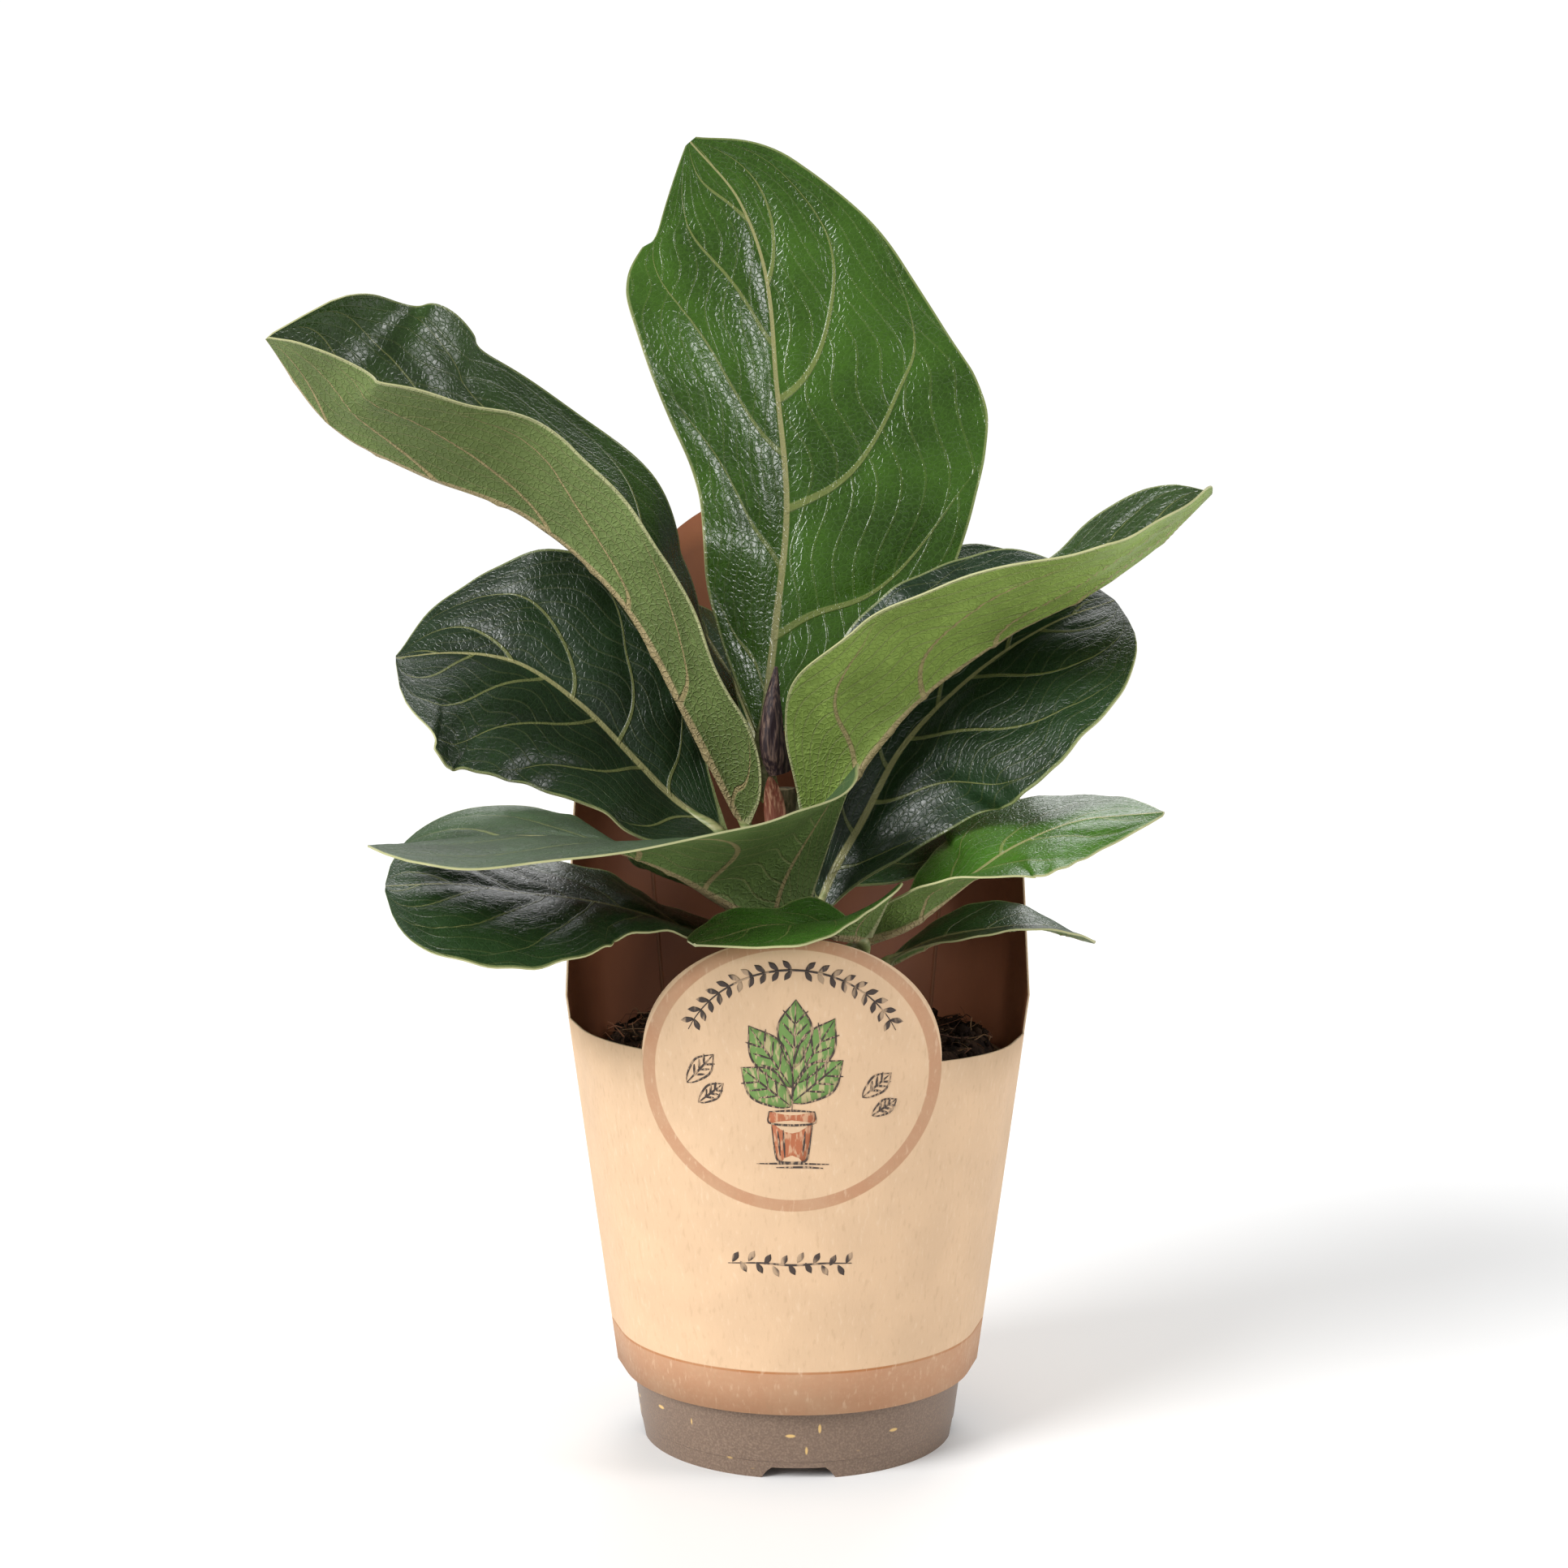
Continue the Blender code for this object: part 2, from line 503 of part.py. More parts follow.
def build_sleeve(made):
    """One sheet of card as a grid of points, given its thickness by Solidify."""
    angles = sleeve_angles()
    count = len(angles)
    verts = []
    faces = []

    def add(angle, height):
        verts.append(sleeve_point(angle, height))
        return len(verts) - 1

    def panel(first, second):
        for a, b, c, d in zip(first[:-1], first[1:], second[1:], second[:-1]):
            faces.append((a, d, c, b))

    lower = []
    for angle in angles:
        edge = front_edge(angle)
        lower.append([add(angle, SLEEVE_BOTTOM), add(angle, (SLEEVE_BOTTOM + edge) / 2), add(angle, edge)])
    tab_start = BACK_COLUMNS + SIDE_COLUMNS
    tab_end = tab_start + MEDALLION_COLUMNS
    upper = {}
    for k, angle in enumerate(angles):
        if k <= BACK_COLUMNS:
            top, rows = back_edge(angle), BACK_ROWS
        elif tab_start <= k <= tab_end:
            top, rows = medallion_edge(angle), MEDALLION_ROWS
        else:
            continue
        start = front_edge(angle)
        upper[k] = [lower[k][-1]] + [add(angle, start + (top - start) * j / rows) for j in range(1, rows + 1)]
    for k in range(count):
        following = (k + 1) % count
        panel(lower[k], lower[following])
        if k < BACK_COLUMNS or tab_start <= k < tab_end:
            panel(upper[k], upper[following])
    sleeve = object_of("cardboard_sleeve", verts, faces, made, sharp_degrees=20)
    sheet = sleeve.modifiers.new("card_thickness", "SOLIDIFY")
    sheet.thickness = CARD
    sheet.offset = 1
    sheet.use_even_offset = True


def build_stem(made):
    radii = [(0, STEM_RADIUS / MM), (STEM_STRAIGHT_SHARE, STEM_RADIUS / MM), (1, STEM_TOP_RADIUS / MM)]
    object_of("main_stem", *tube(STEM_PATH, radii, STEM_SEGMENTS, STEM_RINGS), made)


def build_bud(made):
    object_of("terminal_bud", *tube(BUD_PATH, BUD_RADII, STEM_SEGMENTS, STEM_RINGS), made)


def stem_centre(height):
    """The stem's axis at a height in millimetres."""
    centres = along(STEM_PATH, np.linspace(0, 1, STEM_SAMPLES))
    return centres[np.argmin(np.abs(centres[:, 2] - PLANT_LIFT - height * MM))]


def blade_surface(leaf):
    """Midrib points, tangents and the blade's middle surface as rows of points from the left margin to the right."""
    at = np.linspace(0, 1, BLADE_ROWS + 1)
    rib = along(leaf.rib, at)
    tangents = unit(np.gradient(rib, axis=0))
    facing = np.array(leaf.facing, float)
    level = unit(facing - (tangents @ facing)[:, None] * tangents)
    roll = np.radians(three(leaf.roll, at))[:, None]
    normals = np.cos(roll) * level + np.sin(roll) * np.cross(tangents, level)
    sides = np.cross(tangents, normals)
    length = np.linalg.norm(np.diff(rib, axis=0), axis=1).sum()
    height, waves, phase = leaf.ruffle
    rows = np.zeros((BLADE_ROWS + 1, 2 * HALF_COLUMNS + 1, 3))
    rows[:, HALF_COLUMNS] = rib
    halves = ((-1, leaf.widths[0], leaf.outlines[0], leaf.left_fold, leaf.left_cup),
              (1, leaf.widths[1], leaf.outlines[1], leaf.right_fold, leaf.right_cup))
    for side, width, outline, fold, cup in halves:
        reach = (width * MM * through(*zip(*outline), at))[:, None]
        for j in range(1, HALF_COLUMNS + 1):
            across = j / HALF_COLUMNS
            inner = (np.arange(CURVE_STEPS * j) + 0.5) / (CURVE_STEPS * HALF_COLUMNS)
            angles = np.radians(three(fold, at)[:, None] + three(cup, at)[:, None] * inner)
            outward = np.cos(angles).mean(axis=1)[:, None] * across
            lifted = np.sin(angles).mean(axis=1)[:, None] * across
            turn = 2 * math.pi * (waves * at + phase) + (RUFFLE_SHIFT if side < 0 else 0)
            calm = np.clip(RUFFLE_ENDS * at * (1 - at), 0, 1)
            ruffle = (height * MM * across**2 * np.sin(turn) * calm)[:, None]
            lobe = (leaf.lobe * length * across**2 * np.exp(-at / LOBE_LENGTH))[:, None]
            rows[:, HALF_COLUMNS + side * j] = (
                rib + reach * outward * side * sides + (reach * lifted + ruffle) * normals - lobe * tangents
            )
    return rib, tangents, normals, rows


def surface_normals(rows):
    down = np.gradient(rows, axis=0)
    across = np.gradient(rows, axis=1)
    return unit(np.cross(across, down))


def stalk_sections(leaf, rib, tangents, normals):
    """Round sections from the stem's skin to the blade's base, upper half first, left to right."""
    centre = stem_centre(leaf.attach_height)
    outward = rib[0] - centre
    outward[2] = 0
    outward = unit(outward)
    start = centre + outward * (STEM_RADIUS + STALK_CLEARANCE)
    reach = np.linalg.norm(rib[0] - start)
    sections = []
    for i in range(STALK_ROWS):
        t = i / STALK_ROWS
        first, last = start + outward * reach * STALK_BEND, rib[0] - tangents[0] * reach * STALK_BEND
        point = (1 - t) ** 3 * start + 3 * (1 - t) ** 2 * t * first + 3 * (1 - t) * t**2 * last + t**3 * rib[0]
        heading = unit((1 - t) ** 2 * (first - start) + 2 * (1 - t) * t * (last - first) + t**2 * (rib[0] - last))
        upper = unit(normals[0] - (normals[0] @ heading) * heading)
        side = np.cross(heading, upper)
        count = 2 * HALF_COLUMNS
        ring = [-math.cos(math.pi * k / count) * side + math.sin(math.pi * k / count) * upper for k in range(count + 1)]
        ring += [math.cos(math.pi * k / count) * side - math.sin(math.pi * k / count) * upper for k in range(count + 1)]
        flat = 1 - (1 - STALK_FLATNESS) * t
        sections.append([point + STALK_RADIUS * flat * v for v in spread(ring)])
    return sections


def spread(ring):
    """Keeps the two rows' shared end points a little apart, as the blade's margins are."""
    half = len(ring) // 2
    upper, lower = ring[:half], ring[half:]
    lift = (upper[half // 2] - lower[half // 2]) * STALK_EDGE / 2
    upper = [v + lift for v in upper]
    lower = [v - lift for v in lower]
    return upper + lower


def build_leaf(leaf, made):
    """One closed body: the stalk's round sections run on into the blade's thin ones."""
    rib, tangents, normals, rows = blade_surface(leaf)
    facing = surface_normals(rows)
    across = np.abs(np.linspace(-1, 1, 2 * HALF_COLUMNS + 1))
    thickness = BLADE_THICKNESS + (MARGIN_THICKNESS - BLADE_THICKNESS) * across
    sections = stalk_sections(leaf, rib, tangents, normals)
    for i in range(BLADE_ROWS + 1):
        half = (thickness / 2)[:, None] * facing[i]
        below = half.copy()
        below[HALF_COLUMNS] += facing[i][HALF_COLUMNS] * MIDRIB_DEPTH * (1 - i / BLADE_ROWS)
        sections.append([*(rows[i] + half), *(rows[i] - below)[::-1]])
    count = len(sections[0])
    verts = [tuple(v) for section in sections for v in section]
    object_of(leaf.name, verts, loft_faces(len(sections), count), made)


def build_stipule(name, height, bearing, made):
    """A small pointed scale, curved round the stem and leaning away from it."""
    centre = stem_centre(height)
    turn = math.radians(bearing)
    inside = STEM_RADIUS + STIPULE_CLEARANCE
    sections = []
    for i in range(STIPULE_ROWS + 1):
        share = i / STIPULE_ROWS
        half = STIPULE_WRAP * (1 - share**2) + STIPULE_TIP
        section = []
        for reach, sweep in ((inside, (-1, 0, 1)), (inside + STIPULE_THICKNESS, (1, 0, -1))):
            for k in sweep:
                radius = reach + STIPULE_LENGTH * STIPULE_LEAN * share**2
                angle = turn + k * half
                section.append((centre[0] + radius * math.cos(angle), centre[1] + radius * math.sin(angle),
                                centre[2] + STIPULE_LENGTH * share))
        sections.append(section)
    verts = [v for section in sections for v in section]
    object_of(name, verts, loft_faces(len(sections), len(sections[0])), made)


clear_scene()
build_pot(material("pot_taupe", (0.33, 0.27, 0.21), 0.45))
build_soil(material("soil_peat", (0.035, 0.018, 0.010), 0.95))
build_sleeve(material("sleeve_kraft", (0.66, 0.46, 0.28), 0.75))
build_stem(material("stem_bark", (0.16, 0.13, 0.07), 0.7))
build_bud(material("bud_sheath", (0.045, 0.02, 0.02), 0.6))
leaf_green = material("leaf_green", (0.03, 0.10, 0.025), 0.3)
for each in LEAVES:
    build_leaf(each, leaf_green.copy())
scale_brown = material("stipule_brown", (0.20, 0.07, 0.04), 0.7)
for scale_name, scale_height, scale_bearing in STIPULES:
    build_stipule(scale_name, scale_height, scale_bearing, scale_brown.copy())
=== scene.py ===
"""A young fiddle leaf fig in its nursery pot, with the printed kraft sleeve it is sold in.

Lengths are in metres unless a name or a table says millimetres. The front of the sleeve faces -Y.
"""

import math
from collections import namedtuple

import bpy
import numpy as np
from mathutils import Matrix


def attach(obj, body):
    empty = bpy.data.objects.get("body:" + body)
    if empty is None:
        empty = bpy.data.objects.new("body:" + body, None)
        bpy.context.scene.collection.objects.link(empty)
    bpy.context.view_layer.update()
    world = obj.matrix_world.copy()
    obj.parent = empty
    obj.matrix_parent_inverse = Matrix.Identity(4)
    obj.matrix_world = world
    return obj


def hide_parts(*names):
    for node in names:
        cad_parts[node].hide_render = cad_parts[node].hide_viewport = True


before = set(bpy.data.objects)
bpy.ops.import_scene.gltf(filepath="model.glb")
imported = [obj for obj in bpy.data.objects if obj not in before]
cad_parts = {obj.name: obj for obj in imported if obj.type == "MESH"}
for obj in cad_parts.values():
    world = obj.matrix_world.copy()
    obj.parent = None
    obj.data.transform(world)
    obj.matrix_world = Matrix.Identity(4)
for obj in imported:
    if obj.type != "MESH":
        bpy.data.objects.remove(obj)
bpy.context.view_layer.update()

# Nursery pot: a thin cone of recycled plastic, injection moulded, with a turned-out rim and a foot ring.
# The foot ring has water notches, and the plastic shows golden straw flecks from its recycled filler.
MM = 0.001
POT_HEIGHT = 106 * MM
POT_FOOT_RADIUS = 43.6 * MM
POT_LEAN = 0.135
POT_WALL = 1.2 * MM
RIM_RADIUS = 58.5 * MM
RIM_DEPTH = 8 * MM
POT_FLOOR = 4.5 * MM
FOOT_RING_WALL = 1.8 * MM
CENTRE_FOOT_RADIUS = 15 * MM
MOULD_STEP = 0.3 * MM
NOTCH_COUNT = 4
NOTCH_HALF_ANGLE = math.radians(12.4)
NOTCH_HEIGHT = 3 * MM
POT_SEGMENTS = 192


def add(tree, kind, *inputs, **settings):
    """A shader node with its settings by name and its inputs in order, each a value, another output or None."""
    made = tree.nodes.new("ShaderNode" + kind)
    for name, value in settings.items():
        setattr(made, name, value)
    for socket, value in zip(made.inputs, inputs):
        if isinstance(value, bpy.types.NodeSocket):
            tree.links.new(value, socket)
        elif value is not None:
            socket.default_value = value
    return made.outputs[0]


def mixed(tree, share, first, second):
    """Two colours mixed by a share from 0 to 1."""
    made = tree.nodes.new("ShaderNodeMix")
    made.data_type = "RGBA"
    for index, value in ((0, share), (6, first), (7, second)):
        if isinstance(value, bpy.types.NodeSocket):
            tree.links.new(value, made.inputs[index])
        else:
            made.inputs[index].default_value = (*value, 1) if index else value
    return made.outputs[2]


def ramp(tree, value, low, high, start=0.0, end=1.0):
    """Start below low, end above high and a smooth step between."""
    return add(tree, "MapRange", value, low, high, start, end, interpolation_type="SMOOTHSTEP")


def times(tree, value, factor):
    return add(tree, "Math", value, factor, operation="MULTIPLY")


def plus(tree, value, other):
    return add(tree, "Math", value, other, operation="ADD")


def streaks(tree, where, scale, detail, shift=(0, 0, 0)):
    """Noise drawn out along an axis by a scale for each axis."""
    return add(tree, "TexNoise", add(tree, "Mapping", where, None, shift, scale), None, 1.0, detail)


def finish(name, roughness, specular=0.5):
    """An empty material whose Principled shader waits for its colour and normal."""
    made = bpy.data.materials.new(name)
    made.use_nodes = True
    shader = made.node_tree.nodes["Principled BSDF"]
    shader.inputs["Roughness"].default_value = roughness
    shader.inputs["Specular IOR Level"].default_value = specular
    return made, made.node_tree, shader


def relief(tree, shader, height, depth, strength=1.0):
    """Joins a height to the shader as a bump of this depth."""
    bump = tree.nodes.new("ShaderNodeBump")
    bump.inputs["Strength"].default_value = strength
    bump.inputs["Distance"].default_value = depth
    tree.links.new(height, bump.inputs["Height"])
    tree.links.new(bump.outputs["Normal"], shader.inputs["Normal"])


def place(tree):
    """The point's own place on the object, in metres."""
    return tree.nodes.new("ShaderNodeTexCoord").outputs["Object"]


def piece(name, verts, faces, finishes, slot, *nodes, finish_of_face=None, sharp_degrees=40):
    """A smooth mesh that moves with the plant and stands for these nodes."""
    mesh = bpy.data.meshes.new(name)
    mesh.from_pydata([tuple(v) for v in verts], [], [tuple(int(i) for i in face) for face in faces])
    for made in finishes:
        mesh.materials.append(made)
    if finish_of_face is not None:
        mesh.polygons.foreach_set("material_index", finish_of_face)
    mesh.shade_smooth()
    mesh.set_sharp_from_angle(angle=math.radians(sharp_degrees))
    obj = bpy.data.objects.new(name, mesh)
    bpy.context.scene.collection.objects.link(obj)
    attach(obj, "root")
    if nodes:
        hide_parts(*nodes)
    return obj


def ring_faces(rings, segments):
    """Quads between rings of points."""
    faces = []
    for i in range(rings - 1):
        for k in range(segments):
            following = (k + 1) % segments
            faces.append((i * segments + k, i * segments + following,
                          (i + 1) * segments + following, (i + 1) * segments + k))
    return faces


def pot_radius(height):
    return POT_FOOT_RADIUS + POT_LEAN * height


def notch_lift(angle):
    """How far the foot ring is cut away at this angle."""
    pitch = 2 * math.pi / NOTCH_COUNT
    from_centre = abs((angle + math.pi / 2 + pitch / 2) % pitch - pitch / 2)
    return NOTCH_HEIGHT * min(max((NOTCH_HALF_ANGLE - from_centre) / math.radians(1.9), 0), 1)


def plastic():
    made, tree, shader = finish("recycled plastic", 0.42, specular=0.4)
    where = place(tree)
    cloud = add(tree, "TexNoise", where, None, 45.0, 3.0)
    colour = mixed(tree, cloud, (0.140, 0.093, 0.066), (0.190, 0.129, 0.093))
    grain = add(tree, "TexNoise", where, None, 1900.0, 2.0)
    colour = mixed(tree, ramp(tree, grain, 0.35, 0.75), colour, (0.25, 0.175, 0.125))
    # Straw flecks: short slivers in the few cells whose own random colour is high.
    for stretch, turn, scale in (((1.0, 1.0, 0.30), 0.5, 300.0), ((0.35, 0.35, 1.0), -0.7, 260.0)):
        turned = add(tree, "Mapping", where, None, (turn, turn, 0.3), stretch)
        cells = tree.nodes.new("ShaderNodeTexVoronoi")
        cells.inputs["Scale"].default_value = scale
        tree.links.new(turned, cells.inputs["Vector"])
        chosen = ramp(tree, cells.outputs["Color"], 0.66, 0.70)
        near = ramp(tree, cells.outputs["Distance"], 0.09, 0.15, 1.0, 0.0)
        fleck = add(tree, "Math", chosen, near, operation="MULTIPLY")
        colour = mixed(tree, fleck, colour, (0.66, 0.44, 0.17))
    tree.links.new(colour, shader.inputs["Base Color"])
    tree.links.new(ramp(tree, grain, 0.2, 0.8, 0.36, 0.50), shader.inputs["Roughness"])
    relief(tree, shader, grain, 0.05 * MM)
    return made


rim_bottom = POT_HEIGHT - RIM_DEPTH
ring_inside = POT_FOOT_RADIUS - FOOT_RING_WALL
mouth = pot_radius(rim_bottom) - POT_WALL
pot_floor_top = POT_FLOOR + POT_WALL
pot_profile = [
    (0.001 * MM, 0), (CENTRE_FOOT_RADIUS - MM, 0), (CENTRE_FOOT_RADIUS, 0.3 * MM),
    (CENTRE_FOOT_RADIUS + 1.5 * MM, POT_FLOOR), (ring_inside, POT_FLOOR),
    (ring_inside, "foot"), (POT_FOOT_RADIUS - MOULD_STEP, "foot"),
    (pot_radius(POT_FLOOR) - MOULD_STEP, POT_FLOOR), (pot_radius(POT_FLOOR), POT_FLOOR + MOULD_STEP),
    (pot_radius(30 * MM), 30 * MM), (pot_radius(rim_bottom), rim_bottom), (RIM_RADIUS - 0.8 * MM, rim_bottom),
    (RIM_RADIUS, rim_bottom + 0.8 * MM), (RIM_RADIUS, POT_HEIGHT - 0.8 * MM), (RIM_RADIUS - 0.8 * MM, POT_HEIGHT),
    (mouth + 0.8 * MM, POT_HEIGHT), (mouth, POT_HEIGHT - 0.8 * MM), (mouth, rim_bottom),
    (pot_radius(pot_floor_top) - POT_WALL, pot_floor_top), (CENTRE_FOOT_RADIUS + 0.3 * MM, pot_floor_top),
    (CENTRE_FOOT_RADIUS - POT_WALL, POT_WALL), (0.001 * MM, POT_WALL),
]
pot_points = []
for radius, height in pot_profile:
    for k in range(POT_SEGMENTS):
        turn = 2 * math.pi * k / POT_SEGMENTS
        level = notch_lift(turn) if height == "foot" else height
        reach = radius + (POT_LEAN * level if height == "foot" and radius > ring_inside else 0)
        pot_points.append((reach * math.cos(turn), reach * math.sin(turn), level))
pot_faces = [tuple(reversed(face)) for face in ring_faces(len(pot_profile), POT_SEGMENTS)]
pot_faces.append(tuple(range(POT_SEGMENTS)))
last = (len(pot_profile) - 1) * POT_SEGMENTS
pot_faces.append(tuple(last + k for k in reversed(range(POT_SEGMENTS))))
piece("pot", pot_points, [tuple(reversed(face)) for face in pot_faces], [plastic()], "pot_taupe", "nursery_pot",
      sharp_degrees=30)

# Potting soil: dark peat crumbs with reddish coir fibres, filled in loose and heaped a little above the rim.
# The heap, the larger crumbs that lie on it and the fibres that stick out of it are made apart.
SOIL_EDGE = 105 * MM
SOIL_SHOULDER = 111.5 * MM
SOIL_CROWN = 113 * MM
SOIL_SEGMENTS = 150
SOIL_RINGS = 46
CRUMB_COUNT = 900
FIBRE_COUNT = 420
chance = np.random.default_rng(11)


def waves(x, y, sizes):
    """A fixed rough height from crossed waves, for loose crumbs of these sizes in millimetres."""
    total = 0
    for i, size in enumerate(sizes):
        k = 2 * math.pi / (size * MM)
        total += math.sin(k * (x * math.cos(i * 1.1) + y * math.sin(i * 1.1)) + 1.7 * i) * math.sin(
            k * 0.83 * (y * math.cos(i * 0.7) - x * math.sin(i * 0.7)) + 0.9 * i)
    return total


def peat():
    made, tree, shader = finish("peat", 0.95, specular=0.15)
    where = place(tree)
    patch = add(tree, "TexNoise", where, None, 160.0, 4.0)
    colour = mixed(tree, ramp(tree, patch, 0.35, 0.7), (0.012, 0.006, 0.004), (0.050, 0.026, 0.015))
    bits = add(tree, "TexVoronoi", where, None, 700.0)
    colour = mixed(tree, ramp(tree, bits, 0.05, 0.3, 0.5, 0.0), colour, (0.12, 0.07, 0.04))
    tree.links.new(colour, shader.inputs["Base Color"])
    relief(tree, shader, add(tree, "TexNoise", where, None, 1300.0, 3.0), 0.5 * MM)
    return made


def coir(name, colour):
    made, tree, shader = finish(name, 0.8, specular=0.25)
    streak = add(tree, "TexNoise", place(tree), None, 500.0, 2.0)
    tree.links.new(mixed(tree, streak, tuple(0.55 * c for c in colour), colour), shader.inputs["Base Color"])
    relief(tree, shader, streak, 0.1 * MM)
    return made


def soil_height(x, y):
    share = min(math.hypot(x, y) / mouth, 1)
    dome = SOIL_CROWN + (SOIL_SHOULDER - SOIL_CROWN) * min(share / 0.9, 1)
    drop = (SOIL_SHOULDER - SOIL_EDGE) * max((share - 0.9) / 0.1, 0) ** 2
    return dome - drop + 0.9 * MM * waves(x, y, (17, 9, 5.3, 3.1)) * (1 - 0.5 * share)


soil_points = []
for i in range(SOIL_RINGS):
    radius = 5.0 * MM + (mouth - 0.4 * MM - 5.0 * MM) * i / (SOIL_RINGS - 1)
    for k in range(SOIL_SEGMENTS):
        turn = 2 * math.pi * (k + 0.5 * (i % 2)) / SOIL_SEGMENTS
        x, y = radius * math.cos(turn), radius * math.sin(turn)
        soil_points.append((x, y, soil_height(x, y)))
floor_reach = pot_radius(pot_floor_top) - POT_WALL - 0.8 * MM
for radius, height in ((mouth - 0.4 * MM, rim_bottom), (floor_reach, pot_floor_top + 0.4 * MM)):
    for k in range(SOIL_SEGMENTS):
        turn = 2 * math.pi * k / SOIL_SEGMENTS
        soil_points.append((radius * math.cos(turn), radius * math.sin(turn), height))
soil_faces = ring_faces(SOIL_RINGS + 2, SOIL_SEGMENTS)
soil_faces.append(tuple(reversed(range(SOIL_SEGMENTS))))
last = (SOIL_RINGS + 1) * SOIL_SEGMENTS
soil_faces.append(tuple(last + k for k in range(SOIL_SEGMENTS)))
piece("soil", soil_points, soil_faces, [peat()], "soil_peat", "potting_soil", sharp_degrees=80)

BALL = [(0, 0, 1),
        (0.89, 0, 0.45), (0.28, 0.85, 0.45), (-0.72, 0.53, 0.45), (-0.72, -0.53, 0.45), (0.28, -0.85, 0.45),
        (0.72, 0.53, -0.45), (-0.28, 0.85, -0.45), (-0.89, 0, -0.45), (-0.28, -0.85, -0.45), (0.72, -0.53, -0.45),
        (0, 0, -1)]
BALL_FACES = [(0, 1, 2), (0, 2, 3), (0, 3, 4), (0, 4, 5), (0, 5, 1),
              (1, 6, 2), (2, 7, 3), (3, 8, 4), (4, 9, 5), (5, 10, 1),
              (6, 7, 2), (7, 8, 3), (8, 9, 4), (9, 10, 5), (10, 6, 1),
              (11, 7, 6), (11, 8, 7), (11, 9, 8), (11, 10, 9), (11, 6, 10)]
crumb_points = []
crumb_faces = []
for _ in range(CRUMB_COUNT):
    radius = mouth * math.sqrt(chance.uniform(0.03, 0.93))
    turn = chance.uniform(0, 2 * math.pi)
    centre = np.array([radius * math.cos(turn), radius * math.sin(turn), 0])
    size = MM * chance.uniform(0.5, 1.9)
    centre[2] = soil_height(centre[0], centre[1]) + 0.3 * size
    first = len(crumb_points)
    squash = chance.uniform(0.6, 1.1, 3)
    for corner in BALL:
        crumb_points.append(centre + size * squash * np.array(corner) * chance.uniform(0.75, 1.2))
    crumb_faces += [tuple(first + i for i in face) for face in BALL_FACES]
piece("soil_crumbs", crumb_points, crumb_faces, [peat()], "soil_peat", sharp_degrees=75)


def rod(path, radii, segments):
    """Points and faces of a closed thin rod along these points."""
    path = np.asarray(path)
    heading = np.gradient(path, axis=0)
    heading /= np.linalg.norm(heading, axis=1, keepdims=True)
    guide = np.array([0.0, 1.0, 0.0]) if abs(heading[0][1]) < 0.8 else np.array([1.0, 0.0, 0.0])
    side = np.cross(heading, guide)
    side /= np.linalg.norm(side, axis=1, keepdims=True)
    up = np.cross(side, heading)
    points = []
    for centre, reach, a, b in zip(path, radii, side, up):
        for k in range(segments):
            turn = 2 * math.pi * k / segments
            points.append(centre + reach * (math.cos(turn) * a + math.sin(turn) * b))
    faces = ring_faces(len(path), segments)
    faces.append(tuple(reversed(range(segments))))
    faces.append(tuple((len(path) - 1) * segments + k for k in range(segments)))
    return points, faces


fibre_points = []
fibre_faces = []
fibre_shades = []
for i in range(FIBRE_COUNT):
    radius = mouth * math.sqrt(chance.uniform(0.1, 0.86))
    turn = chance.uniform(0, 2 * math.pi)
    start = np.array([radius * math.cos(turn), radius * math.sin(turn), 0.0])
    start[2] = soil_height(start[0], start[1]) - 0.5 * MM
    heading = chance.normal(0, 1, 3) * (1, 1, 0.35)
    heading[2] = abs(heading[2])
    heading /= np.linalg.norm(heading)
    bend = chance.normal(0, 0.45, 3)
    length = MM * chance.uniform(5, 15)
    steps = np.linspace(0, 1, 7)[:, None]
    path = start + length * steps * (heading + bend * steps * 0.8)
    reach = np.hypot(path[:, 0], path[:, 1])
    inside = np.minimum((mouth - 1.2 * MM) / np.maximum(reach, MM), 1)
    path[:, 0] *= inside
    path[:, 1] *= inside
    floor = np.array([soil_height(x, y) for x, y in path[:, :2]])
    path[:, 2] = np.clip(path[:, 2], floor - 0.4 * MM, floor + 4.5 * MM)
    points, faces = rod(path, MM * chance.uniform(0.09, 0.24) * np.linspace(1.2, 0.5, 7), 5)
    first = len(fibre_points)
    fibre_points += points
    fibre_faces += [tuple(first + j for j in face) for face in faces]
    fibre_shades += [i % 3] * len(faces)
piece("coir_fibres", fibre_points, fibre_faces,
      [coir("dark coir", (0.10, 0.045, 0.025)), coir("red coir", (0.22, 0.09, 0.045)),
       coir("pale coir", (0.34, 0.20, 0.11))], "soil_peat", finish_of_face=fibre_shades)

# Sleeve: one die-cut blank of kraft card, creased at both sides and glued into a cone that grips the pot's rim.
# The front has a round tab, the back rises as an arched panel; the inside is printed dark brown.
CARD = 0.6 * MM
SLEEVE_BOTTOM = 19 * MM
SLEEVE_BOTTOM_RADIUS = 48.3 * MM
SLEEVE_RIM_RADIUS = RIM_RADIUS + 0.4 * MM
CREASE_ANGLE = math.radians(15.5)
FRONT_TOP = 113.5 * MM
FRONT_SKEW = 0.035
BACK_HALF_WIDTH = 64.5 * MM
BACK_SHOULDER = 159 * MM
BACK_TOP = 269 * MM
BACK_ARCH_POWER = 2.4
TAB_X = -1.8 * MM
TAB_Z = 110.6 * MM
TAB_HALF_WIDTH = 38.6 * MM
TAB_HALF_HEIGHT = 35.8 * MM
RING_SHARE = 0.917
BAND_HEIGHT = 11.5 * MM
BACK_COLUMNS = 110
SIDE_COLUMNS = 18
TAB_COLUMNS = 64
KRAFT = (0.70, 0.485, 0.305)
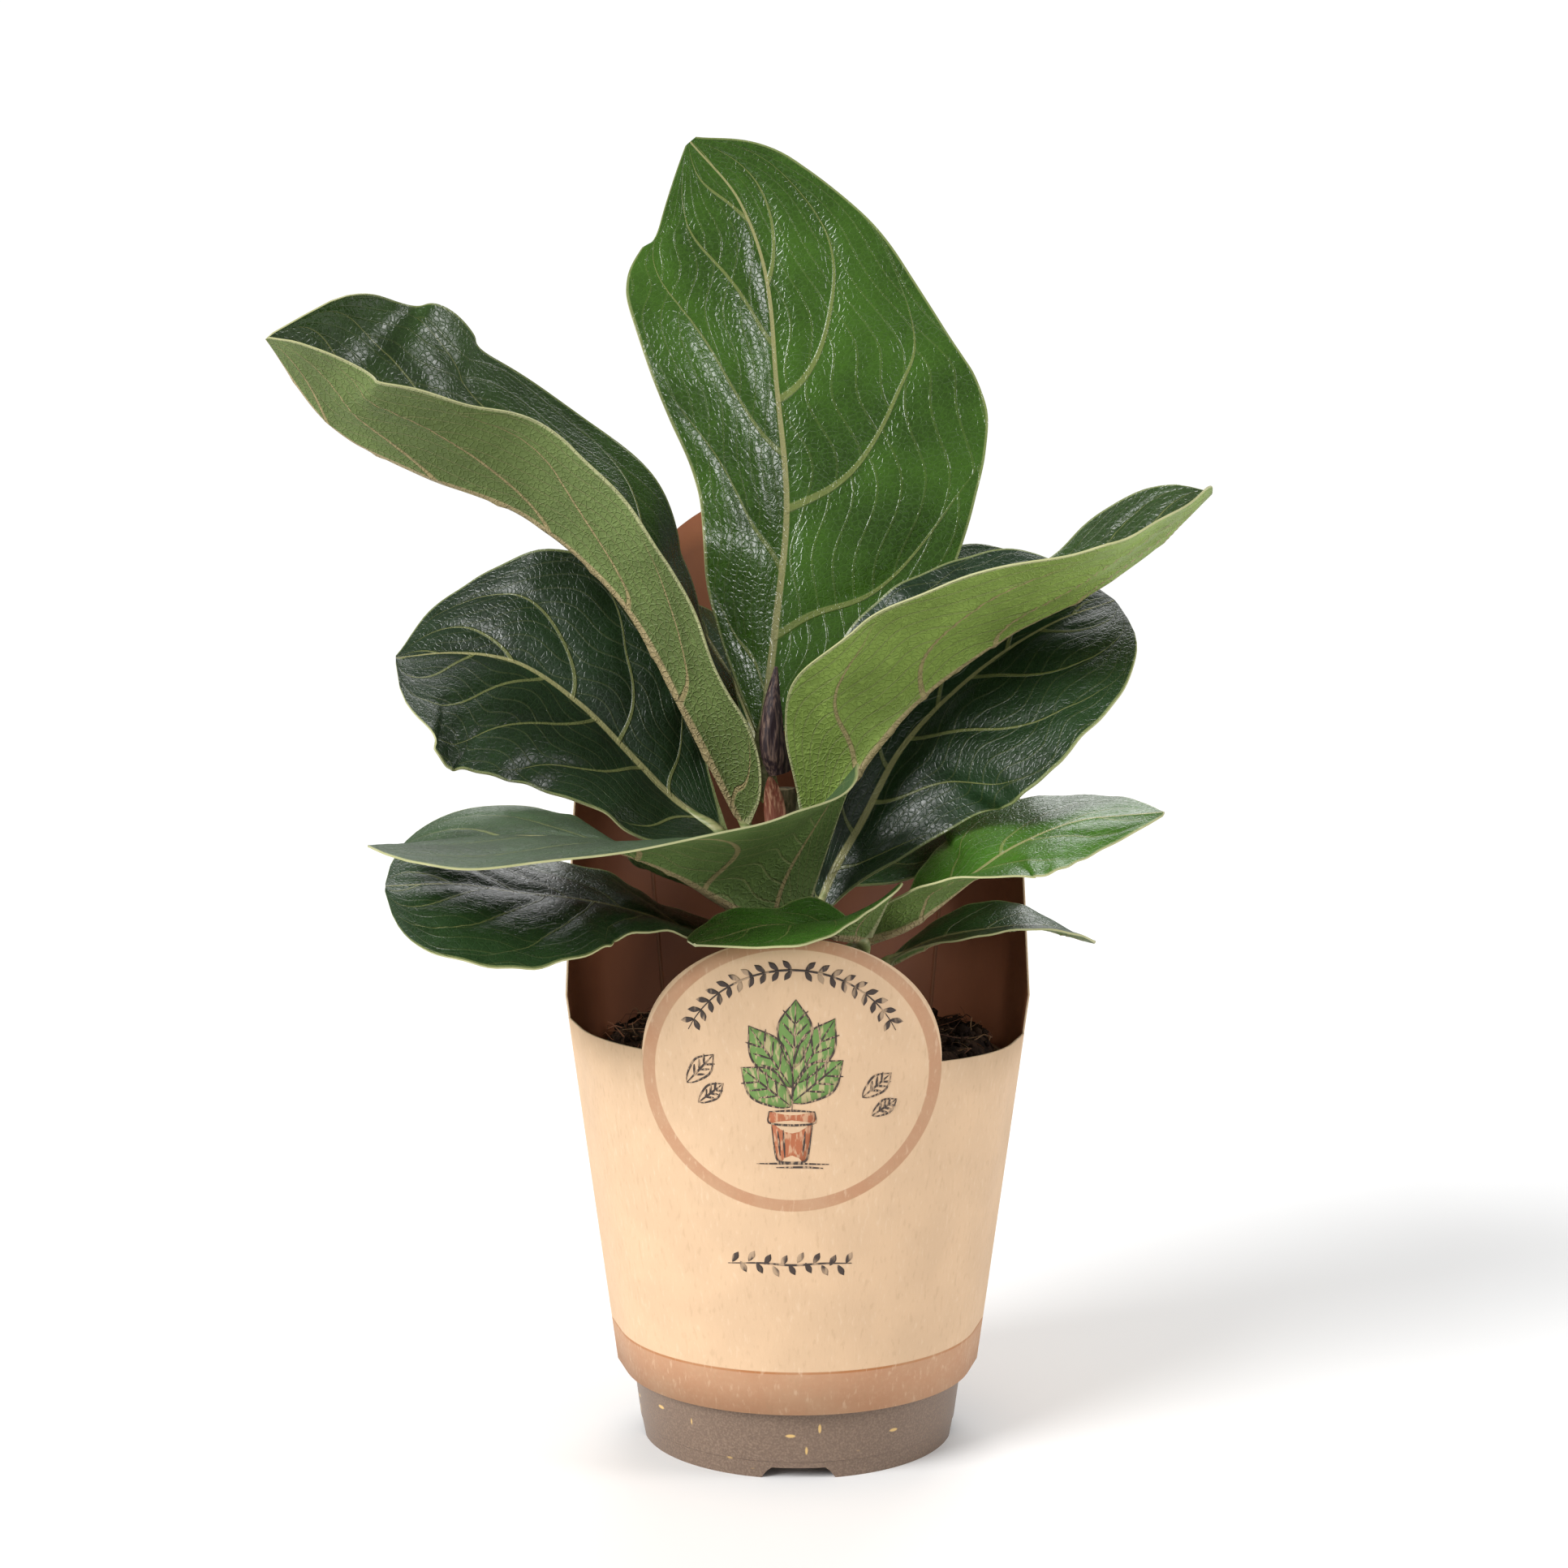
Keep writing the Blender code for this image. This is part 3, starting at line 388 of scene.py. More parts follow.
PRINT_BROWN = (0.49, 0.26, 0.145)
PRINT_DARK = (0.060, 0.043, 0.036)


def circle_radius(height):
    lean = (SLEEVE_RIM_RADIUS - SLEEVE_BOTTOM_RADIUS) / (rim_bottom - SLEEVE_BOTTOM)
    return SLEEVE_BOTTOM_RADIUS + lean * (height - SLEEVE_BOTTOM)


def sleeve_point(angle, height):
    from_crease = abs((angle + math.pi / 2) % math.pi - math.pi / 2)
    radius = circle_radius(height) / math.cos(max(CREASE_ANGLE - from_crease, 0))
    return radius * math.cos(angle), radius * math.sin(angle), height


def halved(low, high, too_low):
    """The place between low and high where too_low stops being true."""
    for _ in range(40):
        middle = (low + high) / 2
        low, high = (middle, high) if too_low(middle) else (low, middle)
    return low


def front_edge(angle):
    return FRONT_TOP - FRONT_SKEW * sleeve_point(angle, FRONT_TOP)[0]


def back_edge(angle):
    def inside(height):
        rise = max(height - BACK_SHOULDER, 0) / (BACK_TOP - BACK_SHOULDER)
        half_width = BACK_HALF_WIDTH * (1 - rise**BACK_ARCH_POWER) ** (1 / BACK_ARCH_POWER)
        return abs(sleeve_point(angle, height)[0]) <= half_width
    return halved(FRONT_TOP, BACK_TOP, inside)


def tab_edge(angle):
    across = (sleeve_point(angle, FRONT_TOP)[0] - TAB_X) / TAB_HALF_WIDTH
    return max(TAB_Z + TAB_HALF_HEIGHT * math.sqrt(max(1 - across**2, 0)), front_edge(angle))


def front_angle(x):
    return halved(math.pi + CREASE_ANGLE, 2 * math.pi - CREASE_ANGLE, lambda turn: sleeve_point(turn, FRONT_TOP)[0] < x)


def card_fibres(tree, where, colour, amount):
    """Cloudy tone, fine fibres along the sheet and rare darker flecks of raw kraft pulp."""
    cloud = add(tree, "TexNoise", where, None, 70.0, 4.0)
    colour = mixed(tree, ramp(tree, cloud, 0.3, 0.7, 0.0, amount), colour, tuple(0.80 * c for c in KRAFT))
    hair = streaks(tree, where, (900.0, 900.0, 300.0), 2.0, (0.0, 0.4, 0.2))
    colour = mixed(tree, ramp(tree, hair, 0.56, 0.75, 0.0, 0.22), colour, (0.42, 0.26, 0.14))
    return mixed(tree, ramp(tree, hair, 0.25, 0.42, 0.28, 0.0), colour, (0.80, 0.62, 0.44)), hair


def printed_kraft():
    made, tree, shader = finish("printed kraft", 0.62, specular=0.3)
    where = place(tree)
    split = tree.nodes.new("ShaderNodeSeparateXYZ")
    tree.links.new(where, split.inputs[0])
    x, y, z = split.outputs
    across = times(tree, plus(tree, x, -TAB_X), 1 / TAB_HALF_WIDTH)
    rise = times(tree, plus(tree, z, -TAB_Z), 1 / TAB_HALF_HEIGHT)
    from_centre = plus(tree, times(tree, across, across), times(tree, rise, rise))
    from_centre = add(tree, "Math", from_centre, 0.5, operation="POWER")
    ring = times(tree, ramp(tree, from_centre, RING_SHARE - 0.004, RING_SHARE + 0.004),
                 ramp(tree, from_centre, 1.0, 1.008, 1.0, 0.0))
    ring = times(tree, ring, add(tree, "Math", y, 0.0, operation="LESS_THAN"))
    band = ramp(tree, z, SLEEVE_BOTTOM + BAND_HEIGHT - 0.15 * MM, SLEEVE_BOTTOM + BAND_HEIGHT + 0.15 * MM, 1.0, 0.0)
    from_band = add(tree, "Math", plus(tree, z, -(SLEEVE_BOTTOM + BAND_HEIGHT)), operation="ABSOLUTE")
    line = ramp(tree, from_band, 0.2 * MM, 0.45 * MM, 1.0, 0.0)
    ink = add(tree, "TexNoise", where, None, 900.0, 3.0)
    worn = ramp(tree, ink, 0.2, 0.5, 0.86, 1.0)
    paper = mixed(tree, times(tree, ring, worn), KRAFT, PRINT_BROWN)
    paper = mixed(tree, times(tree, band, worn), paper, PRINT_BROWN)
    paper = mixed(tree, line, paper, (0.42, 0.17, 0.06))
    colour, hair = card_fibres(tree, where, paper, 0.35)
    tree.links.new(colour, shader.inputs["Base Color"])
    tree.links.new(ramp(tree, ink, 0.2, 0.8, 0.56, 0.72), shader.inputs["Roughness"])
    relief(tree, shader, hair, 0.06 * MM)
    return made


def dark_lining():
    made, tree, shader = finish("dark lining", 0.5, specular=0.35)
    where = place(tree)
    split = tree.nodes.new("ShaderNodeSeparateXYZ")
    tree.links.new(where, split.inputs[0])
    cloud = add(tree, "TexNoise", where, None, 60.0, 3.0)
    colour = mixed(tree, cloud, (0.230, 0.078, 0.038), (0.340, 0.125, 0.056))
    turn = add(tree, "Math", split.outputs[1], split.outputs[0], operation="ARCTAN2")
    # Two scored lines run up the back panel, pressed in from outside.
    scores = None
    for bearing in (48.5, 131.0):
        away = add(tree, "Math", plus(tree, turn, -math.radians(bearing)), operation="ABSOLUTE")
        score = ramp(tree, away, math.radians(0.15), math.radians(0.75), 1.0, 0.0)
        scores = score if scores is None else add(tree, "Math", scores, score, operation="MAXIMUM")
    colour = mixed(tree, times(tree, scores, 0.55), colour, (0.26, 0.12, 0.06))
    hair = streaks(tree, where, (700.0, 700.0, 250.0), 2.0)
    tree.links.new(colour, shader.inputs["Base Color"])
    tree.links.new(ramp(tree, cloud, 0.3, 0.7, 0.42, 0.6), shader.inputs["Roughness"])
    relief(tree, shader, plus(tree, scores, times(tree, hair, 0.1)), 0.5 * MM)
    return made


def cut_card():
    made, tree, shader = finish("cut card edge", 0.85, specular=0.2)
    where = place(tree)
    layers = streaks(tree, where, (3000.0, 3000.0, 800.0), 2.0)
    tree.links.new(mixed(tree, layers, (0.46, 0.31, 0.18), (0.74, 0.57, 0.39)), shader.inputs["Base Color"])
    relief(tree, shader, layers, 0.08 * MM)
    return made


left_of_tab = front_angle(TAB_X - TAB_HALF_WIDTH)
right_of_tab = front_angle(TAB_X + TAB_HALF_WIDTH)
angles = [math.pi * k / BACK_COLUMNS for k in range(BACK_COLUMNS)]
angles += [math.pi + (left_of_tab - math.pi) * k / SIDE_COLUMNS for k in range(SIDE_COLUMNS)]
angles += [front_angle(TAB_X - TAB_HALF_WIDTH * math.cos(math.pi * k / TAB_COLUMNS)) for k in range(TAB_COLUMNS + 1)]
angles += [right_of_tab + (2 * math.pi - right_of_tab) * k / SIDE_COLUMNS for k in range(1, SIDE_COLUMNS)]
tab_start = BACK_COLUMNS + SIDE_COLUMNS
tab_end = tab_start + TAB_COLUMNS
sleeve_points = []
sleeve_faces = []
lower_columns = []
upper_columns = {}
for k, turn in enumerate(angles):
    edge = front_edge(turn)
    lower_columns.append([])
    for j in range(9):
        lower_columns[k].append(len(sleeve_points))
        sleeve_points.append(sleeve_point(turn, SLEEVE_BOTTOM + (edge - SLEEVE_BOTTOM) * j / 8))
    if k <= BACK_COLUMNS or tab_start <= k <= tab_end:
        top = back_edge(turn) if k <= BACK_COLUMNS else tab_edge(turn)
        rows = 14 if k <= BACK_COLUMNS else 6
        upper_columns[k] = [lower_columns[k][-1]]
        for j in range(1, rows + 1):
            upper_columns[k].append(len(sleeve_points))
            sleeve_points.append(sleeve_point(turn, edge + (top - edge) * j / rows))
for k in range(len(angles)):
    following = (k + 1) % len(angles)
    panels = [(lower_columns[k], lower_columns[following])]
    if k < BACK_COLUMNS or tab_start <= k < tab_end:
        panels.append((upper_columns[k], upper_columns[following]))
    for first, second in panels:
        for a, b, c, d in zip(first[:-1], second[:-1], second[1:], first[1:]):
            if sleeve_points[a] != sleeve_points[d] or sleeve_points[b] != sleeve_points[c]:
                sleeve_faces.append((a, b, c, d))
sleeve = piece("sleeve", sleeve_points, sleeve_faces, [printed_kraft(), dark_lining(), cut_card()], "sleeve_kraft",
               "cardboard_sleeve", sharp_degrees=16)
sheet = sleeve.modifiers.new("card thickness", "SOLIDIFY")
sheet.thickness = CARD
sheet.offset = 1
sheet.use_even_offset = True
sheet.material_offset = 1
sheet.material_offset_rim = 2

# The print on the sleeve's front: a sketched sprig in a small clay pot, loose leaf sketches, a garland of small
# leaves and a twig, all in ink that lies on the card. Its shapes are drawn flat and wrapped round.
INK = 0.07 * MM


def ink(name, colour, grain):
    made, tree, shader = finish(name, 0.6, specular=0.3)
    where = place(tree)
    dry = streaks(tree, where, (grain, grain, 0.25 * grain), 2.0, (0, 0.6, 0))
    paler = tuple(0.45 * c + 0.55 * k for c, k in zip(colour, KRAFT))
    tree.links.new(mixed(tree, ramp(tree, dry, 0.5, 0.62), colour, paler), shader.inputs["Base Color"])
    relief(tree, shader, dry, 0.03 * MM)
    return made


def on_card(x, z, lift):
    """A drawn point in millimetres from the medallion's centre, on the sleeve's outside."""
    height = TAB_Z + z * MM
    radius = circle_radius(height) + CARD * 1.006 + lift
    side = TAB_X + x * MM
    return side, -math.sqrt(radius**2 - side**2), height


def drawn(name, outlines, colour, lift):
    """Thin raised shapes from closed outlines, each split into a fan of slim triangles round its middle."""
    points = []
    faces = []
    for outline in outlines:
        first = len(points)
        count = len(outline)
        middle = np.mean(outline, axis=0)
        for share in (1.0, 0.5):
            for x, z in outline:
                points.append(on_card(middle[0] + (x - middle[0]) * share, middle[1] + (z - middle[1]) * share, lift))
        points.append(on_card(*middle, lift))
        for x, z in outline:
            points.append(on_card(x, z, -0.02 * MM))
        for k in range(count):
            following = (k + 1) % count
            faces.append((first + k, first + following, first + count + following, first + count + k))
            faces.append((first + count + k, first + count + following, first + 2 * count))
            rim = first + 2 * count + 1
            faces.append((rim + k, rim + following, first + following, first + k))
    return piece(name, points, faces, [colour], "sleeve_kraft", sharp_degrees=180)


def stroke(path, width, taper=0.3):
    """The outline of a pen stroke through these points, thin at both ends."""
    path = np.asarray(path, float)
    knots = np.linspace(0, 1, len(path))
    fine = np.linspace(0, 1, 6 * (len(path) - 1) + 1)
    curve = np.column_stack([np.interp(fine, knots, path[:, 0]), np.interp(fine, knots, path[:, 1])])
    for _ in range(4):
        curve[1:-1] = (curve[:-2] + 2 * curve[1:-1] + curve[2:]) / 4
    heading = np.gradient(curve, axis=0)
    heading /= np.linalg.norm(heading, axis=1, keepdims=True)
    side = np.column_stack([-heading[:, 1], heading[:, 0]])
    half = width / 2 * (taper + (1 - taper) * np.sin(np.pi * np.clip(fine, 0.02, 0.98)))[:, None]
    return [(curve + side * half), (curve - side * half)]


def strokes(name, paths, width, colour, lift):
    """Pen strokes as thin raised ribbons."""
    points = []
    faces = []
    for path in paths:
        left, right = stroke(path, width)
        first = len(points)
        for a, b in zip(left, right):
            points += [on_card(*a, -0.02 * MM), on_card(*a, lift), on_card(*b, lift), on_card(*b, -0.02 * MM)]
        for i in range(len(left) - 1):
            for k in range(3):
                faces.append((first + 4 * i + k, first + 4 * i + k + 1, first + 4 * i + k + 5, first + 4 * i + k + 4))
    return piece(name, points, faces, [colour], "sleeve_kraft", sharp_degrees=180)


def sketched_leaf(base, tip, width, steps=14):
    """The outline of a drawn leaf between its base and tip."""
    base, tip = np.array(base, float), np.array(tip, float)
    axis = tip - base
    side = np.array([-axis[1], axis[0]]) / np.linalg.norm(axis)
    outline = []
    for sign in (1, -1):
        for k in range(steps):
            share = k / steps if sign > 0 else 1 - k / steps
            reach = width * math.sin(math.pi * share**0.85) * (1 - 0.18 * math.sin(2 * math.pi * share))
            outline.append(base + axis * share + sign * side * reach)
    return outline


SPRIG = [((0, -8), (-13, 2), 4.6), ((0, -7), (13, 4), 4.6), ((0, -3), (-11, 13), 4.4),
         ((0.5, -2), (11, 15), 4.4), ((0.4, 2), (1, 20), 4.4)]
SMALL_SKETCHES = [((-27, -3), (-20, 5), 2.6), ((-24, -8), (-17.5, -2.5), 2.0),
                  ((18, -6), (25.5, 0), 2.4), ((20.5, -11), (27, -7), 1.9)]
leaf_ink = ink("green ink", (0.155, 0.275, 0.075), 900.0)
drawn("print_leaves", [sketched_leaf(*leaf) for leaf in SPRIG], leaf_ink, INK)
clay = [[(-5.6, -9.5), (-6.2, -12.5), (6.2, -12.5), (5.6, -9.5)],
        [(-5.2, -12.8), (-3.9, -22.5), (3.9, -22.5), (5.2, -12.8)]]
drawn("print_clay_pot", clay, ink("clay ink", (0.42, 0.135, 0.060), 1100.0), INK)
pen = ink("dark ink", PRINT_DARK, 1600.0)
outline_paths = []
for base, tip, width in SPRIG + SMALL_SKETCHES:
    edge = sketched_leaf(base, tip, width)
    outline_paths.append(edge[:15])
    outline_paths.append(edge[14:] + edge[:1])
    axis = np.subtract(tip, base)
    side = np.array([-axis[1], axis[0]]) / np.linalg.norm(axis)
    outline_paths.append([base, np.add(base, 0.5 * axis), np.add(base, 0.96 * axis)])
    for share in (0.28, 0.46, 0.64):
        for sign in (1, -1):
            start = np.add(base, share * axis)
            outward = sign * side * width
            outline_paths.append([start, start + 0.12 * axis + outward * 0.42, start + 0.2 * axis + outward * 0.72])
outline_paths += [[(-5.8, -9.3), (-6.4, -12.6), (0, -13.0), (6.4, -12.6), (5.8, -9.3)],
                  [(-5.9, -9.4), (0, -9.0), (5.9, -9.4)],
                  [(-5.2, -12.9), (-4.6, -18), (-3.9, -22.7), (0, -22.9), (3.9, -22.7), (4.6, -18), (5.2, -12.9)],
                  [(-9, -23.3), (0, -23.0), (9.5, -23.4)], [(-4, -24.2), (3, -24.0), (8, -24.4)],
                  [(0, -9), (0.2, -4), (0.3, 2)],
                  [(-3.6, -14.5), (-3.0, -21)], [(-2.2, -14.2), (-1.8, -21.5)], [(3.4, -14.5), (2.8, -21)]]
strokes("print_pen_lines", outline_paths, 0.55, pen, 1.6 * INK)
GARLAND_RADIUS = 27.6
GARLAND_STEP = 6.6
GARLAND_STRETCH = 1.05
GARLAND_LEAF = 2.6
GARLAND_LEAN = 0.075


def garland_point(reach, turn):
    """A point on the garland's slightly flattened arc."""
    return GARLAND_STRETCH * reach * math.cos(turn), reach * math.sin(turn)


garland = []
for k in range(-9, 10):
    turn = math.radians(90 - GARLAND_STEP * k)
    heading = turn + (-GARLAND_LEAN if k > 0 else GARLAND_LEAN)
    for leaf_length in (GARLAND_LEAF, -GARLAND_LEAF):
        tip = garland_point(GARLAND_RADIUS + leaf_length, heading)
        garland.append(sketched_leaf(garland_point(GARLAND_RADIUS, turn), tip, 0.75, 7))
for k in range(-7, 8):
    x, z = -0.7 + 2.1 * k, -50.2 + 0.5 * math.sin(0.9 * k)
    garland.append(sketched_leaf((x, z), (x + 1.6, z + (2.9 if k % 2 else -2.9)), 0.8, 7))
dark_print = ink("solid dark ink", PRINT_DARK, 400.0)
drawn("print_garland", garland, dark_print, INK)
twigs = [[(-16.5, -50.6), (-8.0, -49.9), (0.0, -50.5), (8.0, -49.9), (15.5, -50.3)],
         [garland_point(GARLAND_RADIUS, math.radians(90 - GARLAND_STEP * k)) for k in range(-10, 11)]]
strokes("print_twigs", twigs, 0.55, dark_print, 1.3 * INK)

# Stem: short and woody, with a ring scar where each stalk leaves it. The stalks and leaves are rooted on it.
STEM_RADIUS = 5.2 * MM
STEM_TOP_RADIUS = 4.2 * MM
STEM_PATH = [(0, 0, 97), (0, 0, 113), (0, 0, 126), (-1, 1, 144), (-4, 1, 164), (-5, 0, 180)]


def through(knots, values, at):
    """A smooth curve through values at rising knots, read at each place in at."""
    knots = np.asarray(knots, float)
    values = np.asarray(values, float)
    slopes = np.zeros_like(values)
    slopes[1:-1] = ((values[2:] - values[:-2]).T / (knots[2:] - knots[:-2])).T
    slopes[0] = (values[1] - values[0]) / (knots[1] - knots[0])
    slopes[-1] = (values[-1] - values[-2]) / (knots[-1] - knots[-2])
    at = np.atleast_1d(at)
    first = np.clip(np.searchsorted(knots, at) - 1, 0, len(knots) - 2)
    step = knots[first + 1] - knots[first]
    u = (at - knots[first]) / step
    if values.ndim == 2:
        u = u[:, None]
        step = step[:, None]
    start = (2 * u**3 - 3 * u**2 + 1) * values[first] + (u**3 - 2 * u**2 + u) * slopes[first] * step
    end = (3 * u**2 - 2 * u**3) * values[first + 1] + (u**3 - u**2) * slopes[first + 1] * step
    return start + end


def along(path, at):
    """Points at shares of a path's length, on a smooth curve through its points in millimetres."""
    path = np.asarray(path, float) * MM
    lengths = np.linalg.norm(np.diff(path, axis=0), axis=1)
    knots = np.concatenate([[0], np.cumsum(lengths)])
    return through(knots / knots[-1], path, at)


def bark():
    made, tree, shader = finish("green bark", 0.7, specular=0.3)
    where = place(tree)
    streak = streaks(tree, where, (900.0, 900.0, 260.0), 3.0)
    colour = mixed(tree, ramp(tree, streak, 0.35, 0.65), (0.085, 0.075, 0.030), (0.215, 0.165, 0.090))
    corky = add(tree, "TexVoronoi", where, None, 900.0)
    colour = mixed(tree, ramp(tree, corky, 0.05, 0.2, 0.6, 0.0), colour, (0.36, 0.29, 0.18))
    tree.links.new(colour, shader.inputs["Base Color"])
    relief(tree, shader, streak, 0.4 * MM)
    return made


STEM_RINGS = 110
shares = np.linspace(0, 1, STEM_RINGS)
stem_line = along(STEM_PATH, shares)
stem_reach = through((0, 0.3, 1), np.array([STEM_RADIUS, STEM_RADIUS, STEM_TOP_RADIUS]), shares)
for scar in (119, 121, 130, 132, 137, 139, 142, 154, 159, 162, 166, 170, 178):
    stem_reach += 0.35 * MM * np.exp(-(((stem_line[:, 2] / MM - scar) / 0.9) ** 2))
stem_reach += 0.12 * MM * np.sin(shares * 140)
stem_points, stem_faces = rod(stem_line, stem_reach, 36)
piece("stem", stem_points, stem_faces, [bark()], "stem_bark", "main_stem")

# Bud: the next leaf, still rolled up in its dark purple-brown papery sheath at the top of the stem.
# The sheath is made of two scales that wrap each other, with pale dry fibres along them.
BUD_PATH = [(-5, -2, 184.5), (-7, -3, 193), (-7, -3, 203), (-6, -2, 214)]
BUD_REACH = [(0, 3.0), (0.2, 4.0), (0.55, 3.0), (0.85, 1.4), (1, 0.5)]


def papery(name, dark, pale):
    made, tree, shader = finish(name, 0.6, specular=0.35)
    where = place(tree)
    streak = streaks(tree, where, (1500.0, 1500.0, 160.0), 3.0)
    colour = mixed(tree, ramp(tree, streak, 0.42, 0.72), dark, pale)
    tree.links.new(colour, shader.inputs["Base Color"])
    relief(tree, shader, streak, 0.25 * MM)
    return made


shares = np.linspace(0, 1, 60)
bud_line = along(BUD_PATH, shares)
bud_reach = through(*zip(*BUD_REACH), shares) * MM
bud_points, bud_faces = rod(bud_line, bud_reach, 40)
for i in range(60):
    for k in range(40):
        turn = 2 * math.pi * k / 40 + 2.2 * shares[i]
        lap = ((turn % math.pi) / math.pi) ** 3
        fold = 1 + 0.13 * lap + 0.03 * math.sin(9 * turn)
        j = i * 40 + k
        bud_points[j] = bud_line[i] + (bud_points[j] - bud_line[i]) * fold * 0.93
piece("bud", bud_points, bud_faces, [papery("purple sheath", (0.020, 0.009, 0.012), (0.16, 0.10, 0.075))], "bud_sheath",
      "terminal_bud", sharp_degrees=50)

# Stipules: small reddish papery scales that once covered a bud and now stand against the stem.
STIPULE_LENGTH = 13 * MM
STIPULES = [("stipule_low", 142, 205), ("stipule_middle", 157, 60), ("stipule_top", 171, 250)]


def stem_centre(height):
    """The stem's axis at a height in millimetres."""
    centres = along(STEM_PATH, np.linspace(0, 1, 200))
    return centres[np.argmin(np.abs(centres[:, 2] - height * MM))]


stipule_paper = papery("red scale", (0.16, 0.045, 0.025), (0.38, 0.20, 0.12))
for node, height, bearing in STIPULES:
    centre = stem_centre(height)
    rows, columns = 26, 12
    points = []
    for skin in (0, 1):
        for i in range(rows + 1):
            share = i / rows
            half = math.radians(30) * (1 - share**2) + math.radians(3)
            for j in range(columns + 1):
                across = 2 * j / columns - 1
                turn = math.radians(bearing) + across * half
                reach = STEM_RADIUS + (0.55 + 0.5 * skin * (1 - 0.7 * abs(across))) * MM
                reach += STIPULE_LENGTH * 0.25 * share**2 + 0.12 * MM * math.sin(7 * across + 5 * share)
                points.append((centre[0] + reach * math.cos(turn), centre[1] + reach * math.sin(turn),
                               centre[2] + STIPULE_LENGTH * share))
    count = (rows + 1) * (columns + 1)
    faces = []
    for i in range(rows):
        for j in range(columns):
            a = i * (columns + 1) + j
            faces.append((a, a + columns + 1, a + columns + 2, a + 1))
            faces.append((count + a, count + a + 1, count + a + columns + 2, count + a + columns + 1))
    edge = list(range(columns + 1)) + [(i + 1) * (columns + 1) + columns for i in range(rows)]
    edge += [rows * (columns + 1) + j for j in reversed(range(columns))]
    edge += [i * (columns + 1) for i in reversed(range(1, rows))]
    for a, b in zip(edge, edge[1:] + edge[:1]):
        faces.append((a, b, count + b, count + a))
    piece(node.replace("stipule_", "scale_"), points, faces, [stipule_paper], "stipule_brown", node, sharp_degrees=70)

# Leaves: each is one fiddle-shaped blade with its own stalk, glossy and dark above, paler and matte below.
# Pale veins run out from a thick midrib, the blade is puckered up between them, and its margin is a pale cord.
FIDDLE = [(0, 0.05), (0.04, 0.36), (0.10, 0.54), (0.20, 0.56), (0.32, 0.60), (0.45, 0.76), (0.60, 0.96),
          (0.72, 1.0), (0.84, 0.90), (0.93, 0.66), (0.98, 0.36), (1, 0.05)]
ROUND = [(0, 0.05), (0.04, 0.30), (0.12, 0.48), (0.25, 0.56), (0.40, 0.74), (0.55, 0.92), (0.70, 1.0),
         (0.84, 0.96), (0.93, 0.78), (0.98, 0.48), (1, 0.05)]
LOBED = [(0, 0.05), (0.03, 0.50), (0.08, 0.80), (0.16, 0.84), (0.30, 0.76), (0.45, 0.82), (0.60, 0.95),
         (0.72, 1.0), (0.84, 0.86), (0.93, 0.58), (0.98, 0.30), (1, 0.04)]
TOP_LEFT = [(0, 0.04), (0.06, 0.20), (0.15, 0.41), (0.24, 0.56), (0.42, 0.68), (0.51, 0.80), (0.61, 0.94),
            (0.69, 1.0), (0.78, 0.95), (0.86, 0.80), (0.94, 0.52), (1, 0.04)]
TOP_RIGHT = [(0, 0.04), (0.06, 0.36), (0.14, 0.64), (0.23, 0.74), (0.38, 0.90), (0.44, 0.97), (0.51, 1.0),
             (0.61, 0.91), (0.70, 0.74), (0.79, 0.57), (0.86, 0.41), (0.94, 0.22), (1, 0.04)]
BLUNT = [(0, 0.04), (0.08, 0.16), (0.20, 0.36), (0.32, 0.60), (0.45, 0.88), (0.58, 1.0), (0.72, 1.0),
         (0.86, 0.88), (0.94, 0.66), (0.98, 0.40), (1, 0.05)]
SHOULDER = [(0, 0.05), (0.06, 0.28), (0.12, 0.52), (0.20, 0.72), (0.30, 0.80), (0.45, 0.84), (0.60, 0.95),
            (0.72, 1.0), (0.84, 0.86), (0.93, 0.58), (0.98, 0.30), (1, 0.04)]
SMALL = [(0, 0.05), (0.10, 0.30), (0.25, 0.62), (0.42, 0.90), (0.58, 1.0), (0.72, 0.88), (0.86, 0.56),
         (0.95, 0.26), (1, 0.04)]
UPWARD = (0, 0, 1)
FORWARD = (0, -1, 0)
Leaf = namedtuple("Leaf", "name outlines rib facing roll widths left_fold right_fold left_cup right_cup lobe "
                          "ruffle attach_height")
